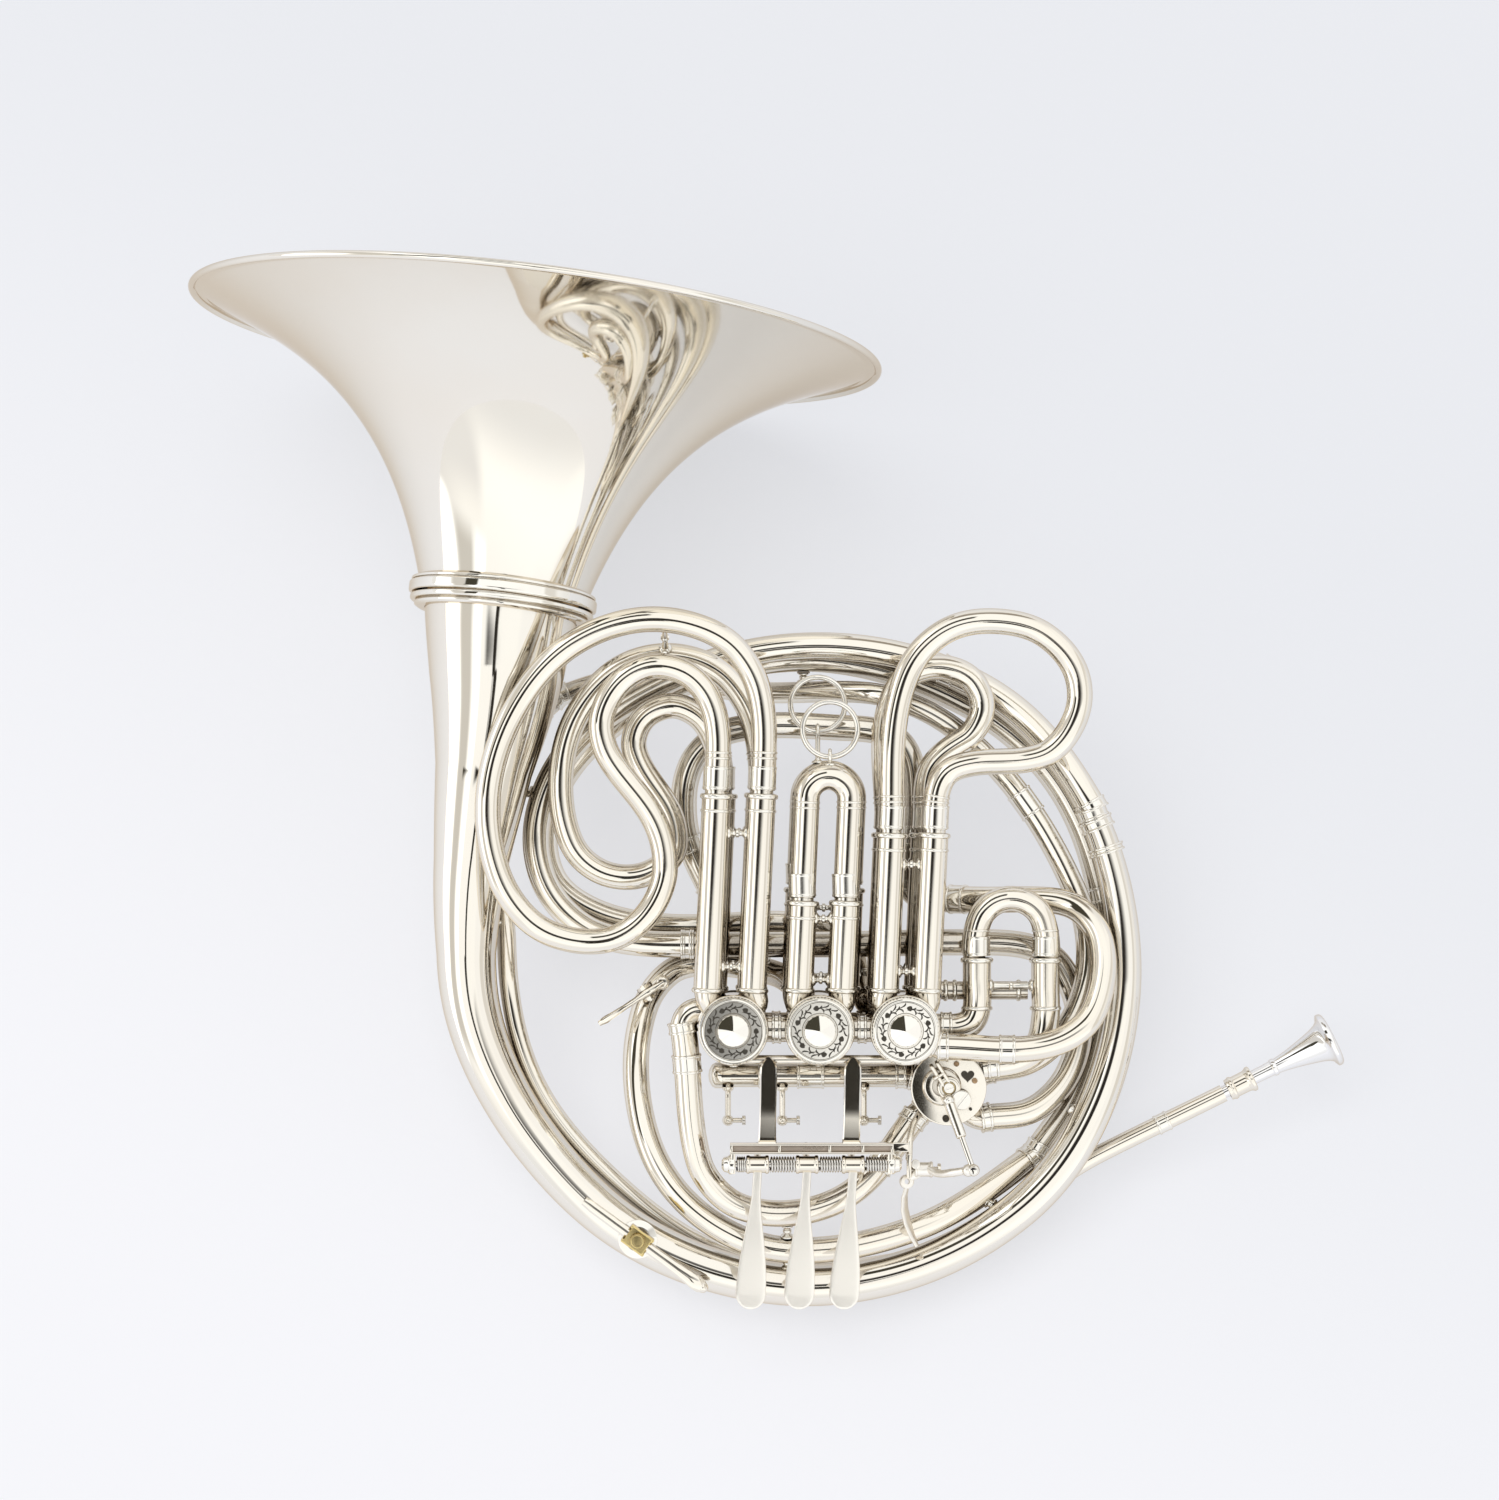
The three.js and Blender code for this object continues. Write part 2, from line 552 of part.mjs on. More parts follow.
// A teardrop finger plate on a thin stem that runs up to the hinge.
function paddle(index) {
  const { width, length, thick } = PADDLE;
  const half = width / 2;
  const stem = PADDLE.stem / 2;
  const shape = new THREE.Shape();
  const back = HINGE.y - PADDLE.y - 3.2;
  shape.moveTo(-stem, back);
  shape.lineTo(-stem, length);
  shape.bezierCurveTo(-stem, length * 0.6, -half, length * 0.4, -half, 0);
  shape.absarc(0, 0, half, Math.PI, 2 * Math.PI, false);
  shape.bezierCurveTo(half, length * 0.4, stem, length * 0.6, stem, length);
  shape.lineTo(stem, back);
  const plate = new THREE.ExtrudeGeometry(shape, { depth: thick, bevelEnabled: false, curveSegments: 5 });
  const rise = Math.atan2(PADDLE.z - HINGE.z, HINGE.y - PADDLE.y);
  const swing = Math.atan2(LEVER_X[index] - PADDLE.x[index], HINGE.y - PADDLE.y);
  plate.translate(0, 0, -thick / 2).rotateX(-rise).rotateZ(-swing);
  return plate.translate(PADDLE.x[index], PADDLE.y, PADDLE.z);
}

function lever(index) {
  const x = LEVER_X[index];
  const { y, z, r } = HINGE;
  const elbow = [x, y + 1, TOE.elbowZ];
  const barrel = rod([x - BARREL.half, y, z], [x + BARREL.half, y, z], BARREL.r, 12);
  const back = rod([x, y - 1, z - 3], elbow, TOE.r, 6);
  const toe = rod(elbow, [x, TOE.y, TOE.z], TOE.r, 6);
  const bore = rod([x - 9, y, z], [x + 9, y, z], r + GAP, 12);
  return cut(join(barrel, paddle(index), back, toe), bore);
}

function thumbLever() {
  const { x, y, z, pinR, barrelR, half } = THUMB;
  const barrel = rod([x - half, y, z], [x + half, y, z], barrelR, 12);
  const blade = block(2.2, 32, 9, x - 1, y - 18, z - 5);
  const arm = rod([x + 3, y, z], [x + 18, y, z + 16], 1.8, 6);
  const bore = rod([x - 9, y, z], [x + 9, y, z], pinR + GAP, 12);
  return cut(join(barrel, blade, arm), bore);
}

// The thumb lever's pin, on a bracket that reaches from the rack's end towards the change valve.
function thumbHinge() {
  const { x, y, z, pinR } = THUMB;
  const side = x - 6.5;
  const pin = rod([side, y, z], [x + 6.5, y, z], pinR, 10);
  const post = block(2, 8, 8, side, y + 3, z + 1);
  const foot = block(2, 22, 2, side, y + 16, z + 4);
  const tie = block(7, 4, 2, side - 3.1, y + 10, z + 4);
  return join(pin, post, foot, tie);
}

function addLevers() {
  add("lever_rack", leverRack());
  const { from, to, y, z, r } = HINGE;
  add("lever_hinge_rod", rod([from - 5, y, z], [to + 4, y, z], r, 10), finish.steel);
  LEVER_X.forEach((_, i) => add(`lever_${i + 1}`, lever(i)));
  add("thumb_lever", thumbLever());
  add("thumb_lever_hinge", thumbHinge(), finish.steel);
  const leverEnd = [THUMB.x + 21, THUMB.y + 1, THUMB.z + 17];
  const valveEnd = [CHANGE.x + 7.5, CHANGE.y - 9.5, CHANGE.top + 12];
  add("thumb_link_rod", rod(leverEnd, valveEnd, THUMB.pinR, 8), finish.steel);
}

// Water key on the lower loop: a lever on a pin between two ears.
function addWaterKey() {
  const { x, y, z, turn } = WATER_KEY;
  const place = (g) => g.rotateZ(turn).translate(x, y, z);
  const ears = cut(block(7, 7, 5, 0, 0, 0), block(3.4, 9, 5, 0, 0, 2.6));
  const pin = rod([-3, 0, 1], [3, 0, 1], 0.7);
  add("water_key_saddle", place(join(ears, pin)), finish.nickel);
  const bar = block(2.4, 34, 2, 0, -8, 3.2);
  const pad = rod([0, 8, 3.2], [0, 8, -3], 3, 12);
  add("water_key_lever", place(join(bar, pad)), finish.nickel);
}

// Finger hook: a strip that slides in a clamp on the lower bow, held by a thumb screw.
function addHook() {
  const { x, y, z, turn, length } = HOOK;
  const place = (g) => g.rotateZ(turn).translate(x, y, z);
  const clamp = block(12, 9, 8, 0, 0, 0);
  const slot = block(14, 5.8, 2.8, 0, 0, 0);
  const screwHole = rod([0, 0, 0], [0, 0, 6], 1.7, 12);
  add("finger_hook_base", place(cut(clamp, slot, screwHole)), finish.brass);
  const strip = block(length, 5, 2, 3, 0, 0);
  const tip = rod([length / 2 + 2, 0, 0], [length / 2 + 4, 0, -4], 2.6, 8);
  add("finger_hook", place(join(strip, tip)));
  const shank = rod([0, 0, 1.5], [0, 0, 6], 1.3, 10);
  const head = rod([0, 0, 5], [0, 0, 9], 3.6, 12);
  add("finger_hook_screw", place(join(shank, head)), finish.brass);
}

add("bell_flare", bellFlare());
add("bell_screw_ring", bellScrewRing());
add("bell_tail", bellTail());
addRoutes();
add("mouthpiece", mouthpiece(), finish.silver);
add("mouthpiece_receiver", mouthpieceReceiver());
addValves();
addSlides();
addLevers();
addWaterKey();
addHook();

horn.rotation.x = REST_TILT;
horn.updateMatrixWorld(true);
const box = new THREE.Box3().setFromObject(horn, true);
horn.position.set(-(box.min.x + box.max.x) / 2, -(box.min.y + box.max.y) / 2, -box.min.z);
horn.updateMatrixWorld(true);

export default horn;
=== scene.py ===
"""A double horn's finished look: smooth tubes, turned parts and engraved caps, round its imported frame."""

import json
import math

import bmesh
import bpy
import numpy as np
from mathutils import Matrix, Vector

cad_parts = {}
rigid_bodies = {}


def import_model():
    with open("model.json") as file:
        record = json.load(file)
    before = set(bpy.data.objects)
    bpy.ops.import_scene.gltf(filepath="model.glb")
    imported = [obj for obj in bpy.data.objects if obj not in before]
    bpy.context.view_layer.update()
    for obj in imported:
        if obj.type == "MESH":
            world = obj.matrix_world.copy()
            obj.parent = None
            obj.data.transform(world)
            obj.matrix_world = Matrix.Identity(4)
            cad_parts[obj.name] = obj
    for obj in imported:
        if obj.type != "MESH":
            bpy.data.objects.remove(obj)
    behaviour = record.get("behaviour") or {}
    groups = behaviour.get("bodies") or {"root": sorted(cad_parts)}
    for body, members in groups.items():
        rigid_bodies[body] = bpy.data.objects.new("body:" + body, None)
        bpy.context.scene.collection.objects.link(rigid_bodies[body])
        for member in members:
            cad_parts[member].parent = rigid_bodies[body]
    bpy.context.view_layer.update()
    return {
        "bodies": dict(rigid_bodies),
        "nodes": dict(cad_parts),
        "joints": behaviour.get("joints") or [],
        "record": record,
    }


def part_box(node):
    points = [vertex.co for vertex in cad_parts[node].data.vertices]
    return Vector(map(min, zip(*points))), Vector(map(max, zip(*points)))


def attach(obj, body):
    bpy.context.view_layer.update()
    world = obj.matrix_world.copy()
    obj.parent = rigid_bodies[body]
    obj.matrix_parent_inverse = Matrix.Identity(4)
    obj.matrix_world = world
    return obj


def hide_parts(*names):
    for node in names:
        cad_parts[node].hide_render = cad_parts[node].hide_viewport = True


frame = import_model()
nodes = frame["nodes"]
joints = {joint["name"]: joint for joint in frame["joints"]}
body_of = {n: b for b, members in frame["record"]["behaviour"]["bodies"].items() for n in members}

MM = 0.001
BODY = "horn_body"

# The horn's own frame: valve side up, bell towards +Y, in millimetres. The first valve's joint fixes it.
VALVE_1 = Vector((67.5, -121.5, 10))
VALVE_AXIS = Vector(joints["rotor_1_turn"]["axis"])
TILT = math.atan2(-VALVE_AXIS.y, VALVE_AXIS.z)
TURN = Matrix.Rotation(TILT, 3, "X")
ORIGIN = Vector(joints["rotor_1_turn"]["pos_m"]) - TURN @ (VALVE_1 * MM)


def at(x, y, z):
    """A point of the horn's own frame, in metres in the row's frame."""
    return ORIGIN + TURN @ (Vector((x, y, z)) * MM)


def way(x, y, z):
    """A direction of the horn's own frame, in the row's frame."""
    return (TURN @ Vector((x, y, z))).normalized()


MOUTH_RIM = at(258.5, -127.5, -15)
UP = way(0, 0, 1)
OUT = way(0, 1, 0)
ACROSS = way(1, 0, 0)

# Each valve's place and radius. Valves 1 to 3 stand in a row, and the change valve is below and beside them.
VALVE_Y = -121.5
CASINGS = {
    1: (67.5, VALVE_Y, 14.8), 2: (30.5, VALVE_Y, 14.8), 3: (-7, VALVE_Y, 14.8), "change": (87, -147.5, 15.4),
}


# ---------------------------------------------------------------- materials

# Painted shade: metal closed in by other parts darkens towards this colour, within this reach of them.
PAINTED_SHADE = (0.12, 0.085, 0.05)
PAINTED_SHADE_REACH = 0.04
SHADED_TO_OPEN = (0.1, 0.52)
GRAZING_TINT = (0.78, 0.70, 0.60)
DRIFT_SCALE = 14.0
HAZE_SCALE = 60.0
SOFT_BAND = (0.35, 0.7)
FINE_BAND = (0.45, 0.75)


def feed(tree, socket, value):
    """Gives a socket another node's output, a colour or a plain value."""
    if isinstance(value, bpy.types.NodeSocket):
        tree.links.new(value, socket)
    elif socket.type == "RGBA":
        socket.default_value = (*value, 1)
    else:
        socket.default_value = value


def grow(tree, kind, output, inputs, **settings):
    """Adds a shader node with its settings and inputs, and gives back one of its outputs."""
    node = tree.nodes.new(f"ShaderNode{kind}")
    for key, value in settings.items():
        setattr(node, key, value)
    for key, value in inputs.items():
        feed(tree, node.inputs[key], value)
    return node.outputs[output]


def ramp(tree, value, band, low, high, **settings):
    """Goes from low to high while the value crosses the band."""
    limits = {"Value": value, "From Min": band[0], "From Max": band[1], "To Min": low, "To Max": high}
    return grow(tree, "MapRange", "Result", limits, **settings)


def blend(tree, factor, a, b):
    """Colour a where the factor is 0, and b where it is 1."""
    return grow(tree, "Mix", "Result", {"Factor": factor, "A": a, "B": b}, data_type="RGBA")


def painted(name, inputs_from):
    """A material whose shader takes what inputs_from(tree) gives."""
    material = bpy.data.materials.new(name)
    material.use_nodes = True
    tree = material.node_tree
    for key, value in inputs_from(tree).items():
        feed(tree, tree.nodes["Principled BSDF"].inputs[key], value)
    return material


def metal(name, colour, roughness, wear=0.25, tint=(1.0, 1.0, 1.0), brushed=0.0, grain=900.0, shade=0.3):
    """Polished metal: faint haze, fine wear, a drift of colour, and painted shade that darkens it in
    closed-in places.
    """
    def inputs(tree):
        place = grow(tree, "TexCoord", "Object", {})

        def noise(scale, detail):
            return grow(tree, "TexNoise", "Fac", {"Scale": scale, "Detail": detail, "Vector": place})

        drift = ramp(tree, noise(DRIFT_SCALE, 3.0), SOFT_BAND, 0.0, 1.0)
        clean = blend(tree, drift, colour, [c * t for c, t in zip(colour, tint)])
        # Painted shade: ambient occlusion darkens the base colour between and under parts; shade sets how
        # dark it goes.
        openness = grow(tree, "AmbientOcclusion", "AO", {"Distance": PAINTED_SHADE_REACH}, samples=6)
        openness = ramp(tree, openness, SHADED_TO_OPEN, shade, 1.0)
        haze = ramp(tree, noise(HAZE_SCALE, 6.0), SOFT_BAND, roughness * (1 - wear), roughness * (1 + wear))
        fine = ramp(tree, noise(grain, 2.0), FINE_BAND, 0.0, roughness * wear)
        found = {
            "Metallic": 1.0,
            "Base Color": blend(tree, openness, PAINTED_SHADE, clean),
            "Specular Tint": GRAZING_TINT,
            "Roughness": grow(tree, "Math", "Value", {0: haze, 1: fine}, operation="ADD"),
        }
        if brushed:
            grooves = {"Strength": brushed, "Distance": 0.0002, "Height": noise(grain * 1.4, 4.0)}
            found["Normal"] = grow(tree, "Bump", "Normal", grooves)
        return found

    return painted(name, inputs)


def soft_stuff(name, colour, roughness, grain):
    """Cork or thread: a matt stuff with a coarse speckle."""
    def inputs(tree):
        place = grow(tree, "TexCoord", "Object", {})
        speckle = grow(tree, "TexVoronoi", "Distance", {"Scale": grain, "Vector": place})
        darker = [c * 0.55 for c in colour]
        return {"Roughness": roughness, "Base Color": blend(tree, speckle, colour, darker)}

    return painted(name, inputs)


NICKEL = metal("nickel_silver", (0.90, 0.865, 0.79), 0.05, tint=(0.985, 0.97, 0.95), shade=0.1)
BELL_METAL = metal("nickel_silver_sheet", (0.885, 0.86, 0.80), 0.045, tint=(0.99, 0.97, 0.95), shade=0.6)
BRIGHT = metal("bright_trim", (0.92, 0.90, 0.85), 0.05, tint=(0.98, 0.98, 0.97), shade=0.55)
SILVER = metal("mouthpiece_silver", (0.93, 0.93, 0.93), 0.05, tint=(0.98, 0.98, 0.99), shade=0.8)
SATIN = metal("lever_satin", (0.98, 0.955, 0.90), 0.36, wear=0.15, brushed=0.2, grain=1400.0, shade=1.0)
STEEL = metal("bright_steel", (0.80, 0.785, 0.75), 0.14, brushed=0.1, shade=0.5)
CLAMP = metal("clamp_brass", (0.80, 0.66, 0.34), 0.2, tint=(0.9, 0.86, 0.7))
ROTOR = metal("rotor_brass", (0.74, 0.60, 0.34), 0.24, brushed=0.15)
# Dark metal: painted shade in the caps' engraved cuts and in the stop plate's heart window; the plate's
# small screw and peg are drawn in it too.
DARK = metal("engraved_shade", (0.085, 0.078, 0.066), 0.4, brushed=0.2)
# A darker brown metal for the lever channel's floor: painted shade in the recess.
RECESS = metal("shaded_recess", (0.55, 0.47, 0.40), 0.3, shade=0.7)
CORK = soft_stuff("cork", (0.55, 0.36, 0.2), 0.85, 900.0)
THREAD = soft_stuff("thread", (0.05, 0.05, 0.045), 0.7, 2500.0)


# ---------------------------------------------------------------- mesh tools

SHARP = math.radians(38)


def mesh_piece(name, shells, material, body, stands_for=()):
    """One Blender object from (vertices, faces) shells, riding on a body."""
    vertices, faces = [], []
    for shell_vertices, shell_faces in shells:
        start = len(vertices)
        vertices += [tuple(v) for v in shell_vertices]
        faces += [[start + i for i in face] for face in shell_faces]
    mesh = bpy.data.meshes.new(name)
    mesh.from_pydata(vertices, [], faces)
    work = bmesh.new()
    work.from_mesh(mesh)
    bmesh.ops.recalc_face_normals(work, faces=work.faces)
    for face in work.faces:
        face.smooth = True
    for edge in work.edges:
        if len(edge.link_faces) == 2 and edge.calc_face_angle(0) > SHARP:
            edge.smooth = False
    work.to_mesh(mesh)
    work.free()
    piece = bpy.data.objects.new(name, mesh)
    bpy.context.scene.collection.objects.link(piece)
    piece.data.materials.append(material)
    # Flat faces keep their own normals and the bevels beside them take the bend.
    weighted = piece.modifiers.new("weighted_normals", "WEIGHTED_NORMAL")
    weighted.keep_sharp = True
    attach(piece, body)
    if stands_for:
        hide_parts(*stands_for)
    return piece


def side_axes(direction):
    """Two directions square to this one."""
    helper = Vector((0, 0, 1)) if abs(direction.z) < 0.9 else Vector((1, 0, 0))
    first = direction.cross(helper).normalized()
    return first, direction.cross(first).normalized()


def circle(centre, first, second, radius, sides):
    """Points round a circle in the plane of two directions. Its radius is in metres."""
    angles = [2 * math.pi * i / sides for i in range(sides)]
    return [centre + (first * math.cos(a) + second * math.sin(a)) * radius for a in angles]


def loft(rings, looped=False):
    """A shell through rings of the same number of points, closed at its ends unless it goes round."""
    count = len(rings[0])
    vertices = [p for ring in rings for p in ring]
    faces = []
    spans = len(rings) if looped else len(rings) - 1
    for k in range(spans):
        a, b = k * count, ((k + 1) % len(rings)) * count
        for i in range(count):
            j = (i + 1) % count
            faces.append([a + i, a + j, b + j, b + i])
    if not looped:
        faces.append(list(range(count))[::-1])
        last = (len(rings) - 1) * count
        faces.append([last + i for i in range(count)])
    return vertices, faces


def turned(profile, origin, axis, sides):
    """A turned shell from (radius, height) pairs in mm. A radius of 0 closes it on the axis."""
    n, b = side_axes(axis)
    vertices, rings, faces = [], [], []
    for r, h in profile:
        middle = origin + axis * (h * MM)
        if r < 1e-6:
            rings.append([len(vertices)])
            vertices.append(middle)
            continue
        rings.append(list(range(len(vertices), len(vertices) + sides)))
        vertices += circle(middle, n, b, r * MM, sides)
    pairs = list(zip(rings, rings[1:]))
    if profile[0][0] > 1e-6:
        pairs.append((rings[-1], rings[0]))
    for low, high in pairs:
        for i in range(sides):
            j = (i + 1) % sides
            corners = [low[i % len(low)], low[j % len(low)], high[j % len(high)], high[i % len(high)]]
            face = list(dict.fromkeys(corners))
            if len(face) > 2:
                faces.append(face)
    return vertices, faces


def rounded(points, radius, steps=3):
    """The same profile with its inner corners rounded."""
    out = [points[0]]
    for before, corner, after in zip(points, points[1:], points[2:]):
        p, a, b = Vector(corner), Vector(before), Vector(after)
        cut = min(radius, (a - p).length * 0.45, (b - p).length * 0.45)
        start = p + (a - p).normalized() * cut
        end = p + (b - p).normalized() * cut
        for i in range(steps + 1):
            t = i / steps
            out.append(tuple(start * (1 - t) ** 2 + p * (2 * t * (1 - t)) + end * t ** 2))
    return [*out, points[-1]]


def peg(place, axis, radius, low, high, edge=0.3, sides=24):
    """A round peg with eased edges, between two heights above a place."""
    return turned(rounded([(0, low), (radius, low), (radius, high), (0, high)], edge), place, axis, sides)


def ring_profile(r, length, rise, inner=0.6):
    """A ferrule: a thin sleeve on a tube of radius r, with a bead at each end."""
    end = length / 2
    width = min(0.9, length * 0.3)
    high, low = r + rise * 1.7, r + rise
    outline = [
        (r - inner, -end), (high, -end), (high, -end + width), (low, -end + width * 1.3),
        (low, end - width * 1.3), (high, end - width), (high, end), (r - inner, end),
    ]
    return rounded(outline, 0.3)


def bead_profile(r, width, rise, inner=0.6):
    """A half-round bead on a tube of radius r."""
    half, steps, sunk = width / 2, 6, 0.02
    angles = [math.pi * i / steps for i in range(steps + 1)]
    crown = [(r + rise * math.sin(a), -half * math.cos(a)) for a in angles]
    return [(r - inner, -half), (r - sunk, -half), *crown, (r - inner, half)]


# ---------------------------------------------------------------- tubes

def outer_rings(node):
    """The rings of corners along a faceted tube, from each end as far as they run unbroken."""
    work = bmesh.new()
    work.from_mesh(nodes[node].data)
    bmesh.ops.remove_doubles(work, verts=work.verts, dist=2e-5)
    work.verts.ensure_lookup_table()

    def spread(start, blocked=()):
        seen = set(start) | set(blocked)
        layers = [list(start)]
        while layers[-1]:
            nearby = {e.other_vert(v) for v in layers[-1] for e in v.link_edges} - seen
            seen |= nearby
            layers.append(list(nearby))
        return layers[:-1]

    def flat_patches():
        """The flat rings of faces: every face pair they hold is level, and they go once round."""
        left = set(work.faces)
        while left:
            seed = left.pop()
            patch, edge_of = {seed}, [seed]
            while edge_of:
                for edge in edge_of.pop().edges:
                    for other in edge.link_faces:
                        if other in left and other.normal.dot(seed.normal) > 0.9999:
                            left.discard(other)
                            patch.add(other)
                            edge_of.append(other)
            corners = {v for face in patch for v in face.verts}
            if len(patch) == len(corners) and len(patch) >= 14:
                yield seed.normal, corners

    def is_end(normal, corners):
        """True where the outside and the bore both start on the same side of the ring."""
        level = next(iter(corners)).co.dot(normal)
        others = {e.other_vert(v) for v in corners for e in v.link_edges} - corners
        return all(v.co.dot(normal) < level - 1e-5 for v in others)

    def walk(corners):
        middle = sum((v.co for v in corners), Vector()) / len(corners)
        by_reach = sorted(corners, key=lambda v: (v.co - middle).length)
        half = len(corners) // 2
        inner, outer = by_reach[:half], by_reach[half:]
        found = []
        for layer in spread(outer, inner):
            if len(layer) != half:
                break
            points = np.array([v.co for v in layer])
            centre = points.mean(0)
            normal = np.linalg.svd(points - centre)[2][2]
            radius = float(np.linalg.norm(points - centre, axis=1).mean())
            found.append((Vector(centre), Vector(normal), radius))
        whole = [found[0]]
        heading = None
        for item in found[1:]:
            step = item[0] - whole[-1][0]
            if step.length > 1e-4:
                if heading is not None and step.dot(heading) < 0:
                    break
                heading = step
            whole.append(item)
        while len(whole) > 1 and (whole[-1][0] - whole[-2][0]).length < 1e-4:
            whole.pop()
        return whole

    ends = [walk(list(corners)) for normal, corners in flat_patches() if is_end(normal, corners)]
    # The longest run first, and of two as long, the one further left, so that each run agrees.
    ends.sort(key=lambda end: (-len(end), round(end[0][0].x, 4), round(end[0][0].y, 4)))
    work.free()
    return ends


def stations(node):
    """Centre, tangent and radius at each bend of a CAD tube, in order along it."""
    ends = outer_rings(node)
    line = ends[0]
    if len(ends) == 2 and (line[-1][0] - ends[1][0][0]).length > 1e-3:
        line = line + ends[1][::-1]
    ordered = []
    for i, (centre, normal, radius) in enumerate(line):
        before = line[max(0, i - 2)][0]
        after = line[min(len(line) - 1, i + 2)][0]
        heading = after - before
        ordered.append((centre, normal if normal.dot(heading) > 0 else -normal, radius))
    return ordered


def smooth_line(points, spacing=2.2):
    """Fills in arcs between stations (place, tangent, radius). Spacing is in mm."""
    line = []
    for (p, t, r), (q, u, s) in zip(points, points[1:]):
        chord = (q - p).length
        if chord < 1e-4:
            line.append((p.copy(), t.copy(), r))
            continue
        # The handles of a Bezier curve that follows a round arc.
        angle = t.angle(u)
        handle = chord / 3
        if angle >= 1e-3:
            handle = chord * (4 / 3) * math.tan(angle / 4) / (2 * math.sin(angle / 2))
        a, b = p + t * handle, q - u * handle
        steps = max(2, math.ceil(chord / MM / spacing))
        for i in range(steps):
            v = i / steps
            w = 1 - v
            place = p * w ** 3 + a * (3 * w * w * v) + b * (3 * w * v * v) + q * v ** 3
            slope = (a - p) * w * w + (b - a) * (2 * w * v) + (q - b) * v * v
            line.append((place, slope.normalized(), r + (s - r) * v))
    line.append(points[-1])
    return line


def framed(line):
    """Each station as (centre, two directions square to the line, radius), with no twist along the way."""
    frames = []
    tangent = line[0][1]
    normal = side_axes(tangent)[0]
    for centre, direction, radius in line:
        normal = (tangent.rotation_difference(direction) @ normal).normalized()
        tangent = direction
        frames.append((centre, normal, tangent.cross(normal).normalized(), radius))
    return frames


def swept(line, sides=32, wall=0.5, depth=7.0):
    """A tube along a line, with its wall showing for a little way inside both ends."""
    frames = framed(line)

    def inner(order):
        travelled, rings = 0.0, []
        for k, (centre, n, b, radius) in enumerate(order):
            if k:
                travelled += (centre - order[k - 1][0]).length
            rings.append(circle(centre, n, b, radius - wall * MM, sides))
            if travelled > depth * MM:
                break
        return rings

    front, back = inner(frames), inner(frames[::-1])
    return loft([*front[::-1], *[circle(*frame, sides) for frame in frames], *back])


def along(line, distance):
    """Place, tangent and radius at a distance in mm from the start, or from the end when it is negative."""
    order = line if distance >= 0 else line[::-1]
    left = abs(distance) * MM
    for (p, t, r), (q, u, s) in zip(order, order[1:]):
        span = (q - p).length
        if span > 0 and left <= span:
            v = left / span
            return p.lerp(q, v), t.lerp(u, v).normalized(), (r + (s - r) * v) / MM
        left -= span
    return order[-1][0], order[-1][1], order[-1][2] / MM


def length_of(line):
    """A line's length in mm."""
    return sum((b[0] - a[0]).length for a, b in zip(line, line[1:])) / MM


def through(points, radius):
    """A smooth curve through points of the horn's frame. Radius is in mm, one or one for each point."""
    places = [at(*p) for p in points]
    radii = radius if isinstance(radius, (list, tuple)) else [radius] * len(places)
    out = []
    for i, place in enumerate(places):
        before, after = places[max(0, i - 1)], places[min(len(places) - 1, i + 1)]
        out.append((place, (after - before).normalized(), radii[i] * MM))
    return smooth_line(out, 1.0)


def wire(points, radius, sides=16):
    """A solid bent wire with rounded ends, through points of the horn's frame."""
    line = through(points, radius)
    (p, t, r), (q, u, e) = line[0], line[-1]
    caps = [0.95, 0.6, 0.15]
    head = [(p - t * (r * k), t, r * math.sqrt(1 - k * k)) for k in caps]
    foot = [(q + u * (e * k), u, e * math.sqrt(1 - k * k)) for k in caps[::-1]]
    return loft([circle(*frame, sides) for frame in framed([*head, *line, *foot])])


def ball(centre, radius):
    """A ball, turned about the horn's up direction."""
    steps = 10
    angles = [math.pi * i / steps for i in range(1, steps)]
    middle = [(radius * math.sin(a), -radius * math.cos(a)) for a in angles]
    return turned([(0, -radius), *middle, (0, radius)], centre, UP, 24)


def strip(points, widths, thick, facing, crown=0.0):
    """A flat strap through points of the horn's frame. Its flat side looks to facing, and crown domes it."""
    places = [at(*p) for p in points]
    rings = []
    for i, place in enumerate(places):
        heading = (places[min(len(places) - 1, i + 1)] - places[max(0, i - 1)]).normalized()
        side = heading.cross(way(*facing)).normalized()
        normal = side.cross(heading).normalized()
        half, top = widths[i] / 2, thick / 2
        edge = min(thick * 0.35, half * 0.5)
        outline = [
            (-half + edge, -top), (half - edge, -top), (half, -top + edge), (half, top - edge),
            (half - edge, top), (half * 0.5, top + crown * 0.75), (0, top + crown),
            (-half * 0.5, top + crown * 0.75), (-half + edge, top), (-half, top - edge),
            (-half, -top + edge),
        ]
        rings.append([place + (side * x + normal * y) * MM for x, y in outline])
    return loft(rings)


def brick(low, high, edge=0.4):
    """A box between two corners of the horn's frame, with its edges eased."""
    (x0, y0, z0), (x1, y1, z1) = low, high
    rings = []
    for z, cut in ((z0, edge), (z0 + edge, 0), (z1 - edge, 0), (z1, edge)):
        a, b, c, d = x0 + cut, x1 - cut, y0 + cut, y1 - cut
        e = edge * 0.6
        low_side, high_side = [(a + e, c), (b - e, c), (b, c + e)], [(b, d - e), (b - e, d), (a + e, d)]
        corners = [*low_side, *high_side, (a, d - e), (a, c + e)]
        rings.append([at(x, y, z) for x, y in corners])
    return loft(rings)


fittings = {}


def fit(body, shell):
    """Keeps a small fitting for the piece that holds all of a body's ferrules and beads."""
    fittings.setdefault(body, []).append(shell)


def band(body, place, axis, radius, length, rise):
    """A short sleeve round a tube, with a bead at each of its ends."""
    fit(body, turned(ring_profile(radius, length, rise), place, axis, 40))


def bead(body, place, axis, radius, width, rise):
    """A half-round bead round a tube."""
    fit(body, turned(bead_profile(radius, width, rise), place, axis, 40))


